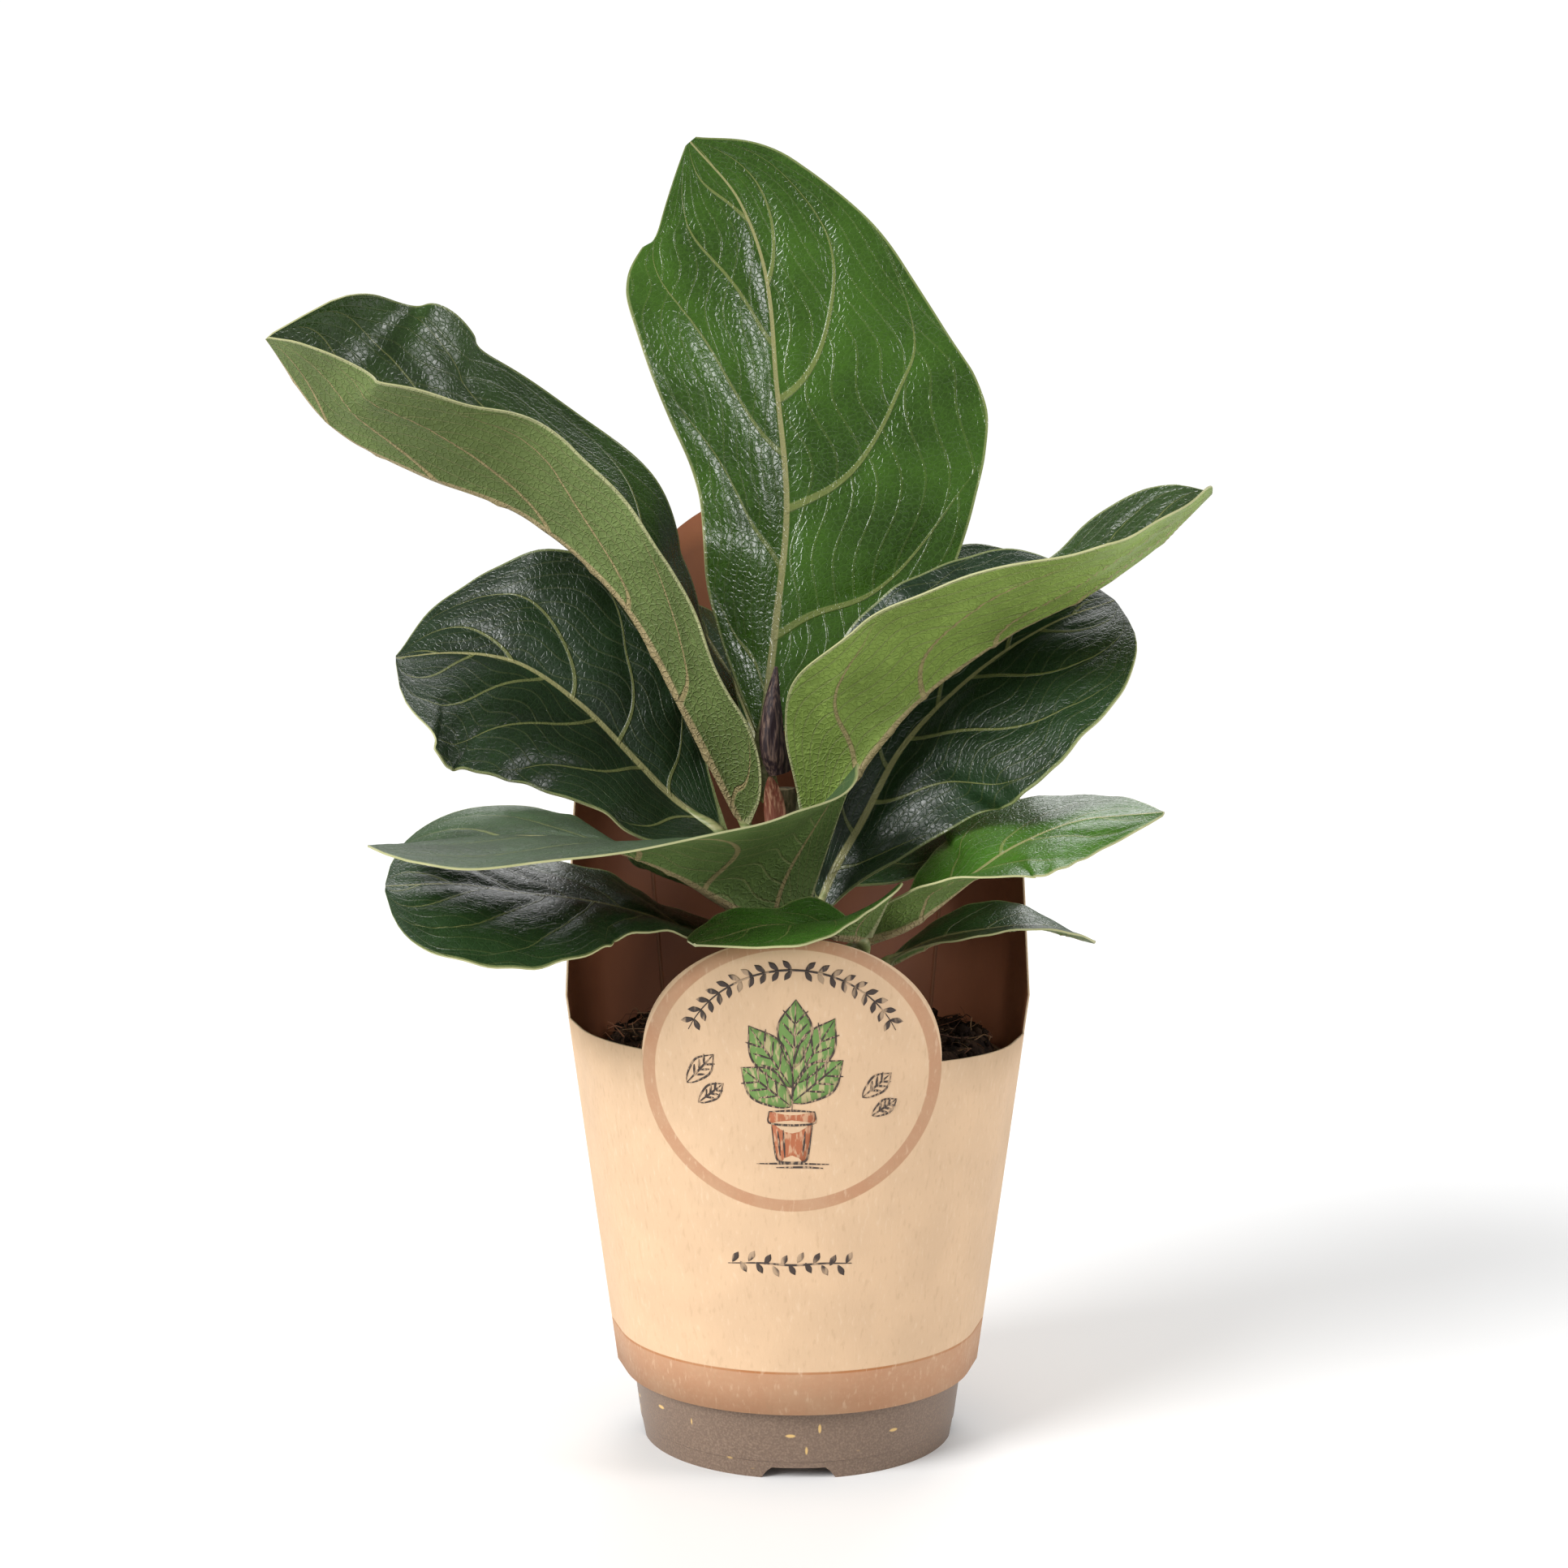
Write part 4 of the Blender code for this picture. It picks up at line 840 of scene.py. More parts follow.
LEAVES = [
    Leaf("leaf_top", (TOP_LEFT, TOP_RIGHT),
         [(-10, 5, 195), (-6, 15, 227), (-3, 22, 260), (-6, 27, 296), (-9, 32, 327), (-17, 34, 349), (-31, 33, 365)],
         FORWARD, (8, 5, 5), (44, 60), (15, 24, 5), (0, 0, -8), (0, 0, 0), (0, 0, 0), 0, (1.2, 3, 0.1), 178),
    Leaf("leaf_upper_left", (FIDDLE, ROUND),
         [(-16, 9, 172), (-30, 1, 201), (-48, -4, 233), (-74, -4, 256), (-104, -10, 268), (-126, -14, 280),
          (-141, -24, 301)],
         UPWARD, (-20, 3, -25), (29, 54), (30, 45, 30), (40, 40, 62), (2, 9, 3), (9, 7, 9), 0.02, (1.5, 2, 0), 162),
    Leaf("leaf_left_middle", (ROUND, SMALL),
         [(-25, 12, 169), (-35, 16, 176), (-48, 18, 189), (-62, 19, 203), (-80, 20, 215), (-98, 21, 218),
          (-115, 20, 216)],
         UPWARD, (-26, -50, -34), (48, 40), (9, 9, 8), (3, 18, 0), (0, 0, 0), (0, 5, 0), 0.05, (1.2, 3, 0.3), 154),
    Leaf("leaf_left_folded", (LOBED, LOBED),
         [(-4, -21, 143), (-18, -29, 151), (-32, -41, 161), (-47, -49, 168), (-63, -51, 171), (-85, -48, 170),
          (-105, -44, 165)],
         UPWARD, (1, -9, -6), (60, 38), (92, 16, 21), (25, -5, 20), (0, -3, -5), (5, -2, -5), 0.05, (0.8, 2, 0.3),
         132),
    Leaf("leaf_lowest_left", (FIDDLE, FIDDLE),
         [(-18, -18, 140), (-29, -20, 143), (-42, -23, 148), (-57, -27, 152), (-74, -36, 155), (-90, -43, 158),
          (-107, -46, 157)],
         UPWARD, (3, -9, -14), (42, 40), (3, -2, -4), (7, 7, 8), (0, -10, -20), (0, 0, 0), 0.05, (1, 3, 0.2), 137),
    Leaf("leaf_right_middle", (BLUNT, BLUNT),
         [(5, -12, 146), (10, -9, 158), (17, -6, 170), (30, -2, 193), (50, -3, 213), (70, -3, 226), (88, 0, 232)],
         UPWARD, (42, 57, 35), (38, 46), (18, 7, -7), (15, 12, 12), (0, 0, 0), (0, 0, 0), 0, (1, 3, 0.2), 139),
    Leaf("leaf_upper_right", (FIDDLE, SHOULDER),
         [(4, -19, 169), (14, -17, 184), (32, -18, 206), (55, -20, 223), (77, -17, 234), (95, -15, 246),
          (112, -12, 261)],
         UPWARD, (-5, 0, 9), (30, 45), (40, 15, 25), (80, 22, 22), (5, 5, 8), (8, 8, 8), 0, (1, 2, 0.2), 159),
    Leaf("leaf_front_curled", (LOBED, LOBED),
         [(15, -36, 143), (6, -46, 146), (-8, -59, 149), (-26, -69, 145)],
         UPWARD, (-14, -2, 2), (26, 21), (74, 6, 2), (25, 5, 0), (0, 0, 0), (0, 0, 0), 0.1, (0.4, 2, 0.2), 121),
    Leaf("leaf_right_low", (SMALL, SMALL),
         [(19, -25, 141), (29, -30, 146), (46, -32, 159), (58, -31, 167), (75, -34, 174), (95, -42, 176)],
         UPWARD, (17, 18, 20), (30, 28), (16, 1, -13), (88, 9, -6), (0, 0, 0), (0, 0, 0), 0, (0.6, 3, 0.2), 130),
    Leaf("leaf_right_lowest", (SMALL, SMALL),
         [(25, -9, 133), (37, -10, 139), (51, -11, 142), (66, -11, 143), (82, -8, 138)],
         UPWARD, (9, 9, 3), (20, 20), (2, 6, -2), (9, 11, 8), (0, 0, 0), (0, 0, 0), 0, (0.4, 2, 0.1), 119),
    Leaf("leaf_back_right", (FIDDLE, FIDDLE),
         [(5, 18, 186), (24, 30, 208), (46, 37, 229), (75, 42, 240)],
         UPWARD, (43, 33, 35), (31, 34), (12, 5, 0), (10, 10, 0), (0, 0, 0), (0, 0, 0), 0.02, (0.8, 2, 0.1), 170),
    Leaf("leaf_back_left", (SMALL, SMALL),
         [(-9, 26, 187), (-17, 38, 206), (-26, 44, 222), (-33, 44, 232)],
         UPWARD, (-65, -30, -49), (26, 26), (10, 10, 0), (14, -13, -8), (0, 0, 0), (0, 0, 0), 0.02, (0.5, 2, 0.1),
         166),
    Leaf("leaf_behind_right", (SMALL, SMALL),
         [(10, 16, 153), (27, 22, 162), (46, 26, 172), (62, 26, 181)],
         UPWARD, (48, 31, 20), (28, 28), (10, 10, 0), (8, 21, 16), (0, 0, 0), (0, 0, 0), 0.02, (0.5, 2, 0.1), 142),
]
BLADE_THICKNESS = 0.9 * MM
MARGIN_THICKNESS = 0.5 * MM
KEEL_DEPTH = 1.5 * MM
STALK_RADIUS = 2.3 * MM
LOBE_LENGTH = 0.12
VEIN_PALE = 0.62
VEIN_RISE = 0.50
VEIN_BEND = 1.15
WANDER = 0.010
LADDER_COUNT = 8.0
LADDER_STEP = 0.618
# How each leaf is finished: colours of its upper side and underside, number of vein pairs, shift of its veins,
# puckering in millimetres, and gloss of the upper side. Two upper colours are darkened partly as painted shade and one
# underside is brightened as painted light, as noted at those leaves.
Skin = namedtuple("Skin", "upper under pairs shift pucker roughness")
SKINS = {
    "leaf_top": Skin((0.033, 0.082, 0.007), (0.120, 0.190, 0.040), 5.2, 0.13, 1.3, 0.19),
    "leaf_upper_left": Skin((0.024, 0.055, 0.009), (0.130, 0.180, 0.052), 6.0, 0.40, 1.2, 0.27),
    # Left middle leaf: its upper colour is partly its own dark green and partly painted shade from the leaves above it.
    "leaf_left_middle": Skin((0.010, 0.026, 0.008), (0.100, 0.140, 0.050), 5.4, 0.25, 0.9, 0.33),
    "leaf_left_folded": Skin((0.040, 0.075, 0.030), (0.120, 0.185, 0.050), 5.0, 0.30, 0.8, 0.42),
    # Lowest left leaf: its upper colour is partly its own dark green and partly painted shade from the folded leaf
    # above it.
    "leaf_lowest_left": Skin((0.016, 0.040, 0.012), (0.100, 0.140, 0.050), 6.0, 0.10, 0.9, 0.36),
    "leaf_right_middle": Skin((0.010, 0.028, 0.009), (0.100, 0.140, 0.050), 5.6, 0.45, 0.9, 0.34),
    # Upper right leaf: its underside colour is brightened as painted light, standing in for light shining through the
    # blade.
    "leaf_upper_right": Skin((0.024, 0.055, 0.009), (0.225, 0.320, 0.066), 5.6, 0.20, 1.2, 0.30),
    "leaf_front_curled": Skin((0.040, 0.115, 0.012), (0.130, 0.200, 0.045), 4.4, 0.35, 0.6, 0.30),
    "leaf_right_low": Skin((0.045, 0.125, 0.012), (0.130, 0.200, 0.045), 4.8, 0.15, 0.6, 0.32),
    "leaf_right_lowest": Skin((0.026, 0.070, 0.014), (0.110, 0.170, 0.045), 4.6, 0.28, 0.5, 0.34),
    "leaf_back_right": Skin((0.018, 0.052, 0.012), (0.100, 0.150, 0.050), 5.0, 0.22, 0.8, 0.32),
    "leaf_back_left": Skin((0.018, 0.052, 0.012), (0.100, 0.150, 0.050), 4.6, 0.38, 0.6, 0.32),
    "leaf_behind_right": Skin((0.020, 0.060, 0.012), (0.100, 0.150, 0.050), 4.6, 0.05, 0.6, 0.32),
}


def three(values, at):
    """A parabola through values at the base, middle and tip."""
    base, middle, tip = values
    return (1 - at) ** 2 * base + 2 * at * (1 - at) * (2 * middle - (base + tip) / 2) + at**2 * tip


def unit(vectors):
    return vectors / np.linalg.norm(vectors, axis=-1, keepdims=True)


def blade(leaf, rows, columns):
    """The blade's middle surface as rows of points from the left margin to the right, and its half widths."""
    at = np.linspace(0, 1, rows + 1)
    rib = along(leaf.rib, at)
    tangents = unit(np.gradient(rib, axis=0))
    facing = np.array(leaf.facing, float)
    level = unit(facing - (tangents @ facing)[:, None] * tangents)
    roll = np.radians(three(leaf.roll, at))[:, None]
    normals = np.cos(roll) * level + np.sin(roll) * np.cross(tangents, level)
    sides = np.cross(tangents, normals)
    length = np.linalg.norm(np.diff(rib, axis=0), axis=1).sum()
    height, ripples, phase = leaf.ruffle
    places = (np.arange(columns + 1) / columns) ** 1.3
    surface = np.zeros((rows + 1, 2 * columns + 1, 3))
    reaches = np.zeros((rows + 1, 2 * columns + 1))
    surface[:, columns] = rib
    halves = ((-1, leaf.widths[0], leaf.outlines[0], leaf.left_fold, leaf.left_cup),
              (1, leaf.widths[1], leaf.outlines[1], leaf.right_fold, leaf.right_cup))
    for side, width, outline, fold, cup in halves:
        reach = np.maximum(width * MM * through(*zip(*outline), at), 0.4 * MM)
        reaches[:, columns] = reach
        for j in range(1, columns + 1):
            across = places[j]
            inner = across * (np.arange(24) + 0.5) / 24
            bend = np.radians(three(fold, at)[:, None] + three(cup, at)[:, None] * inner)
            outward = np.cos(bend).mean(axis=1)[:, None] * across
            lifted = np.sin(bend).mean(axis=1)[:, None] * across
            turn = 2 * math.pi * (ripples * at + phase) + (2.1 if side < 0 else 0)
            calm = np.clip(5.2 * at * (1 - at), 0, 1)
            ruffle = (height * MM * across**2 * (np.sin(turn) + 0.35 * np.sin(3.3 * turn + 1)) * calm)[:, None]
            lobe = (leaf.lobe * length * across**2 * np.exp(-at / LOBE_LENGTH))[:, None]
            surface[:, columns + side * j] = (rib + reach[:, None] * outward * side * sides
                                              + (reach[:, None] * lifted + ruffle) * normals - lobe * tangents)
            reaches[:, columns + side * j] = reach
    across = np.concatenate([-places[:0:-1], places])
    return at, across, rib, tangents, normals, surface, reaches


def vein_distance(across, at, pairs, shift):
    """How far each point is from the nearest side vein and ladder vein, from 0 on one to 0.5 midway."""
    out = np.abs(across)
    wander = at + WANDER * np.sin(7 * out + 11 * at + 6 * shift)
    rise = wander - (0.05 + VEIN_RISE * wander) * out**VEIN_BEND
    count = pairs * rise + shift + 0.5 * (across < 0)
    panel = np.floor(count)
    ladder = LADDER_COUNT * (out + 0.30 * at) + LADDER_STEP * panel + 0.35 * np.sin(31 * at + 5 * panel)
    return np.abs((count + 0.5) % 1 - 0.5), np.abs((ladder + 0.5) % 1 - 0.5)


def vein_group():
    """Where a leaf's veins, its ladder veins, its midrib and its margin are, as masks, and a height for its skin."""
    group = bpy.data.node_groups.new("leaf veins", "ShaderNodeTree")
    for name, kind in (("Blade", "NodeSocketVector"), ("Pairs", "NodeSocketFloat"), ("Shift", "NodeSocketFloat"),
                       ("From rib", "NodeSocketFloat"), ("From edge", "NodeSocketFloat")):
        group.interface.new_socket(name, in_out="INPUT", socket_type=kind)
    for name in ("Veins", "Ladder", "Rib", "Margin", "Net"):
        group.interface.new_socket(name, in_out="OUTPUT", socket_type="NodeSocketFloat")
    given = group.nodes.new("NodeGroupInput").outputs
    found = group.nodes.new("NodeGroupOutput").inputs

    def maths(operation, *values):
        return add(group, "Math", *values, operation=operation)

    def nearest(value):
        return maths("ABSOLUTE", maths("SUBTRACT", maths("FRACT", maths("ADD", value, 0.5)), 0.5))

    split = group.nodes.new("ShaderNodeSeparateXYZ")
    group.links.new(given["Blade"], split.inputs[0])
    side = maths("MULTIPLY", maths("SUBTRACT", split.outputs[0], 0.5), 2.0)
    at = split.outputs[1]
    out = maths("ABSOLUTE", side)
    sway = maths("ADD", maths("MULTIPLY", at, 11.0), maths("MULTIPLY", given["Shift"], 6.0))
    sway = maths("ADD", maths("MULTIPLY", out, 7.0), sway)
    wander = maths("ADD", at, maths("MULTIPLY", maths("SINE", sway), WANDER))
    slope = maths("ADD", maths("MULTIPLY", wander, VEIN_RISE), 0.05)
    rise = maths("SUBTRACT", wander, maths("MULTIPLY", slope, maths("POWER", out, VEIN_BEND)))
    left = maths("MULTIPLY", maths("LESS_THAN", side, 0.0), 0.5)
    count = maths("ADD", maths("ADD", maths("MULTIPLY", rise, given["Pairs"]), given["Shift"]), left)
    panel = maths("FLOOR", count)
    thin = maths("MULTIPLY", maths("SUBTRACT", 1.15, out), 0.042)
    share = maths("DIVIDE", nearest(count), maths("MAXIMUM", thin, 0.002))
    veins = ramp(group, share, 0.55, 1.0, 1.0, 0.0)
    group.links.new(maths("MULTIPLY", veins, ramp(group, out, 0.72, 0.97, 1.0, 0.15)), found["Veins"])
    step = maths("ADD", maths("MULTIPLY", maths("ADD", out, maths("MULTIPLY", at, 0.30)), LADDER_COUNT),
                 maths("MULTIPLY", panel, LADDER_STEP))
    ripple = maths("SINE", maths("ADD", maths("MULTIPLY", at, 31.0), maths("MULTIPLY", panel, 5.0)))
    step = maths("ADD", step, maths("MULTIPLY", ripple, 0.35))
    group.links.new(ramp(group, nearest(step), 0.03, 0.075, 1.0, 0.0), found["Ladder"])
    rib_reach = maths("SUBTRACT", 1.45, maths("MULTIPLY", at, 1.15))
    group.links.new(ramp(group, maths("DIVIDE", given["From rib"], rib_reach), 0.6, 1.0, 1.0, 0.0), found["Rib"])
    group.links.new(ramp(group, given["From edge"], 0.45, 0.95, 1.0, 0.0), found["Margin"])
    where = place(group)
    net = group.nodes.new("ShaderNodeTexVoronoi")
    net.feature = "DISTANCE_TO_EDGE"
    net.inputs["Scale"].default_value = 620.0
    bent = add(group, "TexNoise", where, None, 300.0, 2.0)
    moved = add(group, "VectorMath", bent, (0.0016, 0.0016, 0.0016), operation="MULTIPLY")
    group.links.new(add(group, "VectorMath", where, moved, operation="ADD"), net.inputs["Vector"])
    group.links.new(ramp(group, net.outputs["Distance"], 0.0, 0.16, 1.0, 0.0), found["Net"])
    return group


leaf_veins = vein_group()


def veins_of(tree, skin):
    node = tree.nodes.new("ShaderNodeGroup")
    node.node_tree = leaf_veins
    uv = tree.nodes.new("ShaderNodeUVMap")
    uv.uv_map = "blade"
    tree.links.new(uv.outputs[0], node.inputs["Blade"])
    node.inputs["Pairs"].default_value = skin.pairs
    node.inputs["Shift"].default_value = skin.shift
    for socket, attribute in (("From rib", "from_rib"), ("From edge", "from_edge")):
        read = tree.nodes.new("ShaderNodeAttribute")
        read.attribute_name = attribute
        tree.links.new(read.outputs["Fac"], node.inputs[socket])
    return node.outputs


def tinted(colour, factor):
    return tuple(factor * c for c in colour)


def leaf_upper(name, skin):
    made, tree, shader = finish(name + " upper side", skin.roughness, specular=0.6)
    vein = tuple(VEIN_PALE * a + (1 - VEIN_PALE) * b for a, b in zip((0.34, 0.36, 0.12), skin.upper))
    mask = veins_of(tree, skin)
    where = place(tree)
    cloud = add(tree, "TexNoise", where, None, 38.0, 4.0)
    colour = mixed(tree, ramp(tree, cloud, 0.3, 0.7), tinted(skin.upper, 0.72), tinted(skin.upper, 1.35))
    fine = add(tree, "TexNoise", where, None, 900.0, 3.0)
    colour = mixed(tree, ramp(tree, fine, 0.45, 0.75, 0.0, 0.35), colour, tinted(skin.upper, 1.5))
    colour = mixed(tree, times(tree, mask["Net"], 0.20), colour, tinted(skin.upper, 2.2))
    colour = mixed(tree, times(tree, mask["Ladder"], 0.12), colour, vein)
    colour = mixed(tree, times(tree, mask["Veins"], 0.66), colour, vein)
    colour = mixed(tree, times(tree, mask["Rib"], 0.85), colour, (0.36, 0.34, 0.15))
    colour = mixed(tree, times(tree, mask["Margin"], 0.6), colour, (0.30, 0.34, 0.13))
    tree.links.new(colour, shader.inputs["Base Color"])
    dulled = ramp(tree, fine, 0.3, 0.75, skin.roughness - 0.05, skin.roughness + 0.10)
    tree.links.new(dulled, shader.inputs["Roughness"])
    height = plus(tree, times(tree, mask["Net"], -0.22), times(tree, fine, 0.10))
    height = plus(tree, height, times(tree, mask["Ladder"], -0.30))
    height = plus(tree, height, times(tree, mask["Veins"], -0.8))
    crinkle = add(tree, "TexNoise", where, None, 240.0, 2.0)
    height = plus(tree, height, times(tree, crinkle, 0.9))
    relief(tree, shader, height, 0.30 * MM, 0.9)
    return made


def leaf_under(name, skin):
    made, tree, shader = finish(name + " underside", 0.55, specular=0.3)
    mask = veins_of(tree, skin)
    where = place(tree)
    cloud = add(tree, "TexNoise", where, None, 45.0, 3.0)
    colour = mixed(tree, ramp(tree, cloud, 0.3, 0.7), tinted(skin.under, 0.82), tinted(skin.under, 1.18))
    colour = mixed(tree, times(tree, mask["Net"], 0.42), colour, tinted(skin.under, 1.45))
    colour = mixed(tree, times(tree, mask["Ladder"], 0.45), colour, (0.30, 0.31, 0.13))
    colour = mixed(tree, times(tree, mask["Veins"], 0.85), colour, (0.40, 0.31, 0.15))
    colour = mixed(tree, times(tree, mask["Rib"], 0.95), colour, (0.42, 0.33, 0.17))
    colour = mixed(tree, times(tree, mask["Margin"], 0.8), colour, (0.48, 0.48, 0.25))
    tree.links.new(colour, shader.inputs["Base Color"])
    tree.links.new(ramp(tree, cloud, 0.3, 0.7, 0.50, 0.62), shader.inputs["Roughness"])
    height = plus(tree, times(tree, mask["Net"], 0.7), times(tree, mask["Ladder"], 0.8))
    height = plus(tree, height, mask["Veins"])
    relief(tree, shader, height, 0.35 * MM, 0.9)
    return made


def pale_cord():
    made, tree, shader = finish("leaf margin", 0.5, specular=0.4)
    tint = add(tree, "TexNoise", place(tree), None, 180.0, 2.0)
    tree.links.new(mixed(tree, tint, (0.34, 0.36, 0.15), (0.52, 0.50, 0.27)), shader.inputs["Base Color"])
    relief(tree, shader, tint, 0.08 * MM)
    return made


def stalk_skin():
    made, tree, shader = finish("leaf stalk", 0.42, specular=0.45)
    streak = streaks(tree, place(tree), (260.0, 260.0, 900.0), 3.0)
    colour = mixed(tree, ramp(tree, streak, 0.35, 0.7), (0.20, 0.24, 0.08), (0.42, 0.40, 0.19))
    tree.links.new(colour, shader.inputs["Base Color"])
    relief(tree, shader, streak, 0.15 * MM)
    return made


margin_finish = pale_cord()
stalk_finish = stalk_skin()
for leaf in LEAVES:
    skin = SKINS[leaf.name]
    long = np.linalg.norm(np.diff(np.array(leaf.rib, float), axis=0), axis=1).sum()
    rows = int(long / 1.45)
    columns = int(max(leaf.widths) / 1.75)
    at, across, rib, tangents, normals, surface, reaches = blade(leaf, rows, columns)
    outward = unit(np.cross(np.gradient(surface, axis=1), np.gradient(surface, axis=0)))
    along_grid, across_grid = np.meshgrid(at, across, indexing="ij")
    out = np.abs(across_grid)
    from_vein, from_ladder = vein_distance(across_grid, along_grid, skin.pairs, skin.shift)
    from_rib = out * reaches / MM
    from_edge = (1 - out) * reaches / MM
    ends = np.clip(8 * along_grid, 0, 1) * np.clip(7 * (1 - along_grid), 0, 1)
    calm = ends * np.clip(3.2 * (1 - out), 0, 1)
    pillow = (1 - np.exp(-((from_vein / 0.15) ** 2))) * (1 - np.exp(-((from_rib / 5) ** 2)))
    small = (1 - np.exp(-((from_ladder / 0.2) ** 2)))
    puckered = skin.pucker * MM * calm * (0.80 * pillow + 0.12 * small - 0.46)
    rib_ridge = 0.45 * MM * np.exp(-((from_rib / 0.9) ** 2)) * (1 - 0.8 * along_grid)
    rib_valley = 0.5 * MM * np.exp(-((from_rib / 3.5) ** 2)) * calm
    rib_bulge = rib_ridge - rib_valley
    thick = BLADE_THICKNESS + (MARGIN_THICKNESS - BLADE_THICKNESS) * out
    keel = KEEL_DEPTH * (1 - along_grid) ** 0.8 * np.exp(-((from_rib / 1.5) ** 2))
    ridges = 0.45 * MM * calm * (1 - 0.6 * out) * np.exp(-((from_vein / 0.05) ** 2))
    upper = surface + (thick / 2 + puckered + rib_bulge)[..., None] * outward
    lower = surface - (thick / 2 - puckered + keel + ridges)[..., None] * outward
    wide = 2 * columns + 1
    section = 2 * wide
    points = []
    blade_uv = []
    rib_values = []
    edge_values = []
    for i in range(rows + 1):
        points += [*upper[i], *lower[i][::-1]]
        order = np.concatenate([across, across[::-1]])
        blade_uv += [(0.5 + 0.5 * a, at[i]) for a in order]
        rib_values += [*from_rib[i], *from_rib[i][::-1]]
        edge_values += [*from_edge[i], *from_edge[i][::-1]]
    faces = [tuple(range(section))]
    slots = [2]
    for i in range(rows):
        for k in range(section):
            following = (k + 1) % section
            here, onward = i * section, (i + 1) * section
            faces.append((here + k, onward + k, onward + following, here + following))
            slots.append(0 if k < wide - 1 else 1 if wide <= k < section - 1 else 2)
    faces.append(tuple(rows * section + k for k in reversed(range(section))))
    slots.append(2)
    # The stalk: a round rod from inside the stem's skin that runs on under the blade as its midrib begins.
    centre = stem_centre(leaf.attach_height)
    away = (rib[0] - centre) * (1, 1, 0)
    away /= np.linalg.norm(away)
    start = centre + away * (STEM_RADIUS - 0.8 * MM)
    reach = np.linalg.norm(rib[0] - start)
    first_bend, last_bend = start + away * reach * 0.35, rib[0] - tangents[0] * reach * 0.35
    t = np.linspace(0, 1, 16)[:, None]
    path = (1 - t) ** 3 * start + 3 * (1 - t) ** 2 * t * first_bend + 3 * (1 - t) * t**2 * last_bend + t**3 * rib[0]
    run_on = [i for i in range(2, max(int(rows * 0.10), 5), 2)]
    path = np.vstack([path, [rib[i] - 0.5 * MM * outward[i, columns] for i in run_on]])
    radii = STALK_RADIUS * np.concatenate([1.12 - 0.30 * np.linspace(0, 1, 16), np.linspace(0.78, 0.35, len(run_on))])
    if leaf.widths[0] < 32:
        radii *= 0.8
    rod_points, rod_faces = rod(path, radii, 18)
    offset = len(points)
    points += rod_points
    faces += [tuple(offset + i for i in face) for face in rod_faces]
    slots += [3] * len(rod_faces)
    blade_uv += [(0.5, 0.0)] * len(rod_points)
    rib_values += [0.0] * len(rod_points)
    edge_values += [5.0] * len(rod_points)
    title = leaf.name.replace("leaf_", "").replace("_", " ") + " leaf"
    obj = piece(leaf.name.replace("leaf_", "blade_"), points, faces,
                [leaf_upper(title, skin), leaf_under(title, skin), margin_finish, stalk_finish],
                "leaf_green", leaf.name, finish_of_face=slots, sharp_degrees=60)
    mesh = obj.data
    uv = mesh.uv_layers.new(name="blade")
    corner_points = np.zeros(len(mesh.loops), dtype=int)
    mesh.loops.foreach_get("vertex_index", corner_points)
    uv.data.foreach_set("uv", np.array(blade_uv)[corner_points].ravel())
    for name, values in (("from_rib", rib_values), ("from_edge", edge_values)):
        mesh.attributes.new(name, "FLOAT", "POINT").data.foreach_set("value", np.array(values, dtype=float))

# Studio: a plain pale floor, one broad soft light from the front left, a weaker one from the right, and a
# camera at the height of the top leaves.
FLOOR_HALF = 3.0
CAMERA_PLACE = (-0.0038, -0.630, 0.217)
CAMERA_TILT = math.radians(90 - 3.24)
CAMERA_LENS = 51.99


def floor_paint():
    made, tree, shader = finish("pale floor", 0.75, specular=0.2)
    mottle = add(tree, "TexNoise", place(tree), None, 3.0, 2.0)
    tree.links.new(mixed(tree, mottle, (0.90, 0.90, 0.90), (0.94, 0.94, 0.94)), shader.inputs["Base Color"])
    return made


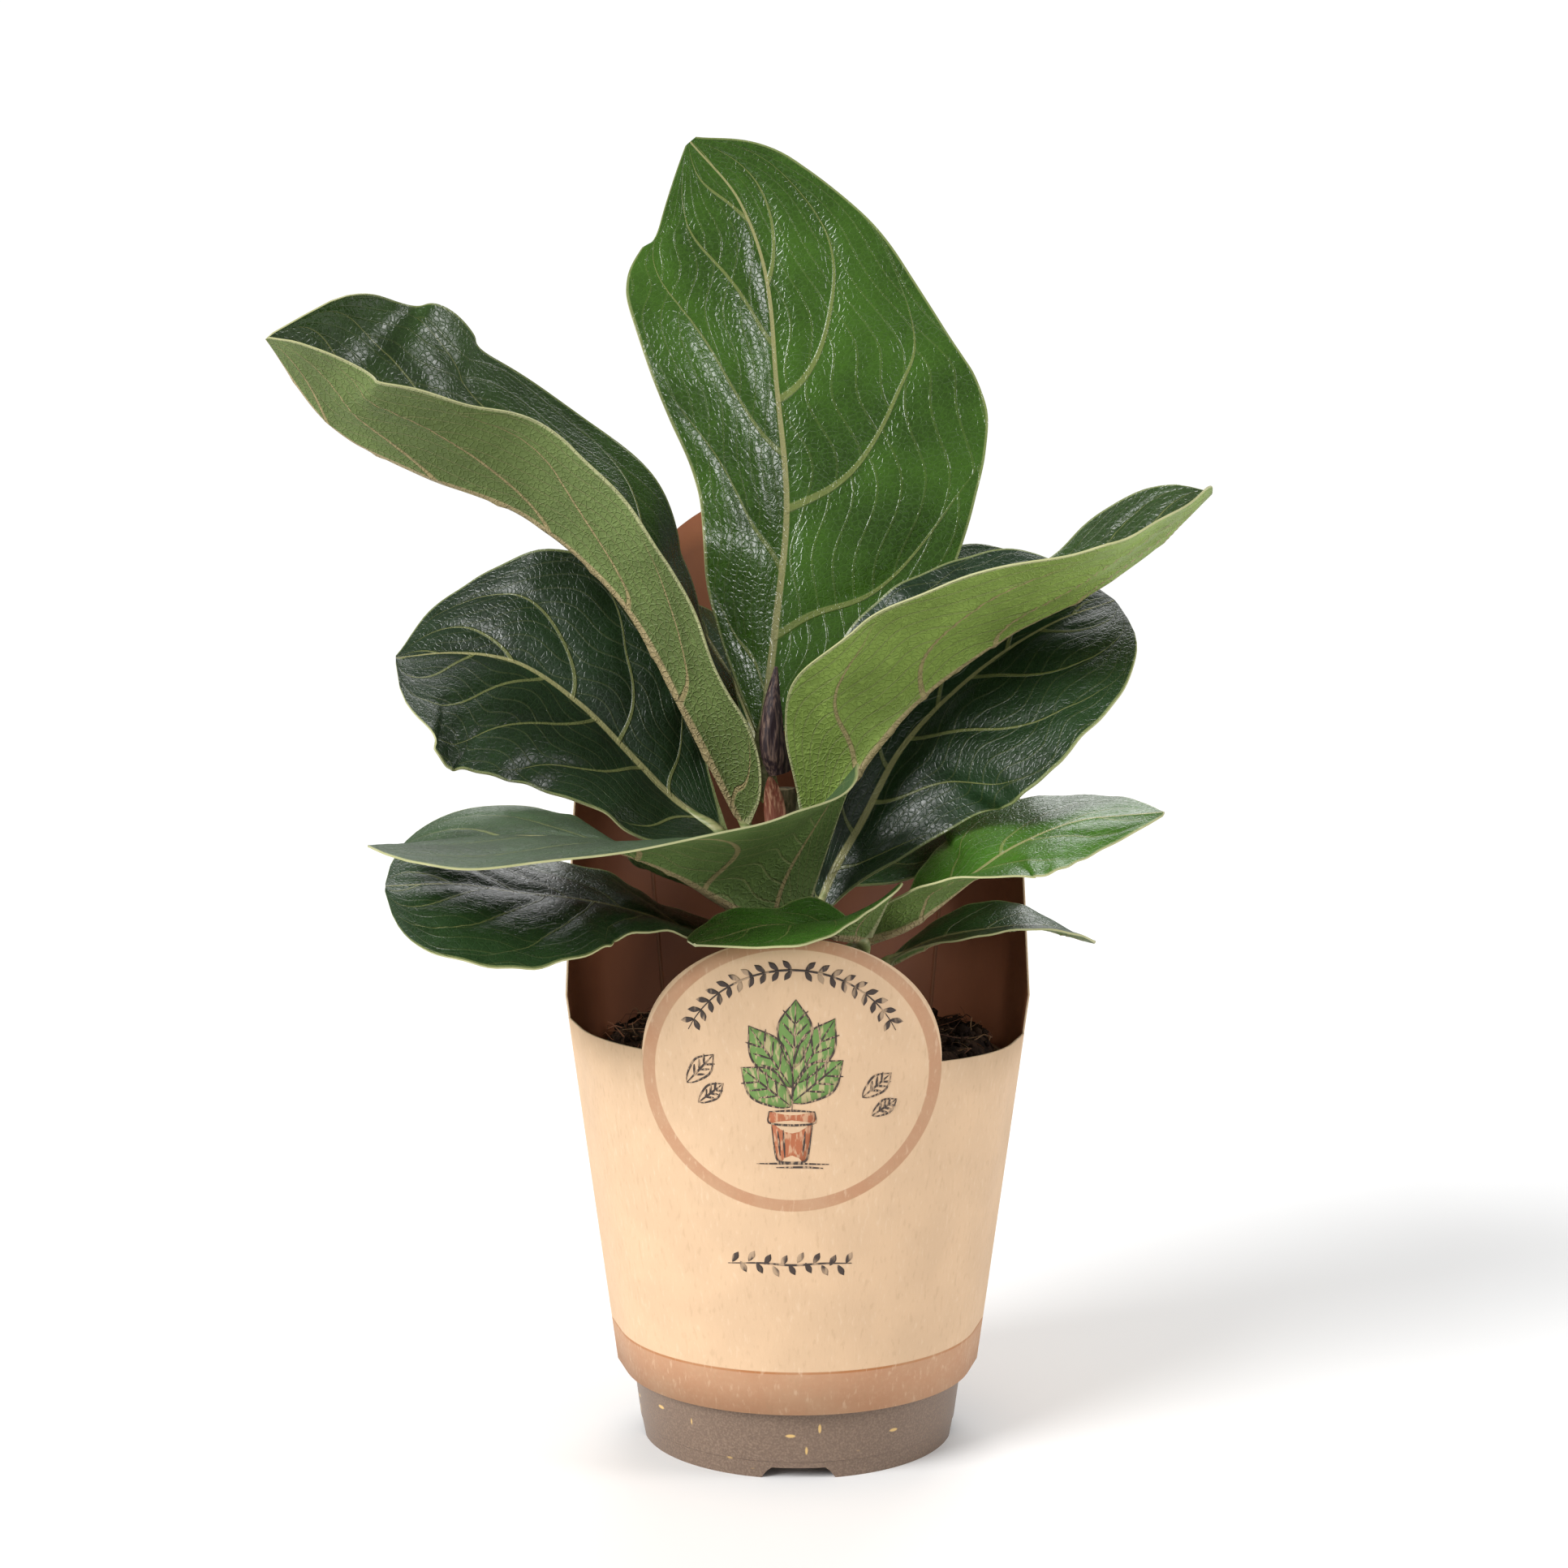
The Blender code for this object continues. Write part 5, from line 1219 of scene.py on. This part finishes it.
floor_mesh = bpy.data.meshes.new("floor")
floor_mesh.from_pydata([(-FLOOR_HALF, -FLOOR_HALF, 0), (FLOOR_HALF, -FLOOR_HALF, 0), (FLOOR_HALF, FLOOR_HALF, 0),
                        (-FLOOR_HALF, FLOOR_HALF, 0)], [], [(0, 1, 2, 3)])
floor_mesh.materials.append(floor_paint())
floor = bpy.data.objects.new("floor", floor_mesh)
bpy.context.scene.collection.objects.link(floor)


def aim(obj, place_at, look_at):
    """Puts a lamp at a place and turns it to look at a point."""
    away = np.subtract(look_at, place_at)
    away = away / np.linalg.norm(away)
    obj.location = place_at
    obj.rotation_euler = (math.acos(-away[2]), 0, math.atan2(away[1], away[0]) - math.pi / 2)


LEFT_KEY = (2.9, 30, (-0.72, -0.56, 0.56))
RIGHT_KEY = (0.9, 20, (0.92, -0.20, 0.50))
BACK_LIGHT = (1.0, 40, (0.10, 0.78, 0.62))
ROOM_LIGHT = 0.50
ROOM_SHEEN = 0.20
for name, (power, spread, place_at) in (("left key", LEFT_KEY), ("right key", RIGHT_KEY), ("back light", BACK_LIGHT)):
    sky = bpy.data.lights.new(name, "SUN")
    sky.energy = power
    sky.angle = math.radians(spread)
    obj = bpy.data.objects.new(name, sky)
    bpy.context.scene.collection.objects.link(obj)
    aim(obj, place_at, (0, 0, 0))
world = bpy.data.worlds.new("pale room")
world.use_nodes = True
tree = world.node_tree
rays = tree.nodes.new("ShaderNodeLightPath").outputs
sheen = ramp(tree, rays["Is Glossy Ray"], 0.0, 1.0, ROOM_LIGHT, ROOM_SHEEN)
tree.links.new(ramp(tree, rays["Is Camera Ray"], 0.0, 1.0, sheen, 1.05), tree.nodes["Background"].inputs["Strength"])
tree.nodes["Background"].inputs["Color"].default_value = (1, 1, 1, 1)
bpy.context.scene.world = world
bpy.context.scene.view_settings.view_transform = "Standard"
camera_data = bpy.data.cameras.new("camera")
camera_data.sensor_width = 36
camera_data.lens = CAMERA_LENS
camera_data.clip_start = 0.01
camera = bpy.data.objects.new("camera", camera_data)
bpy.context.scene.collection.objects.link(camera)
camera.location = CAMERA_PLACE
camera.rotation_euler = (CAMERA_TILT, 0, 0)
bpy.context.scene.camera = camera
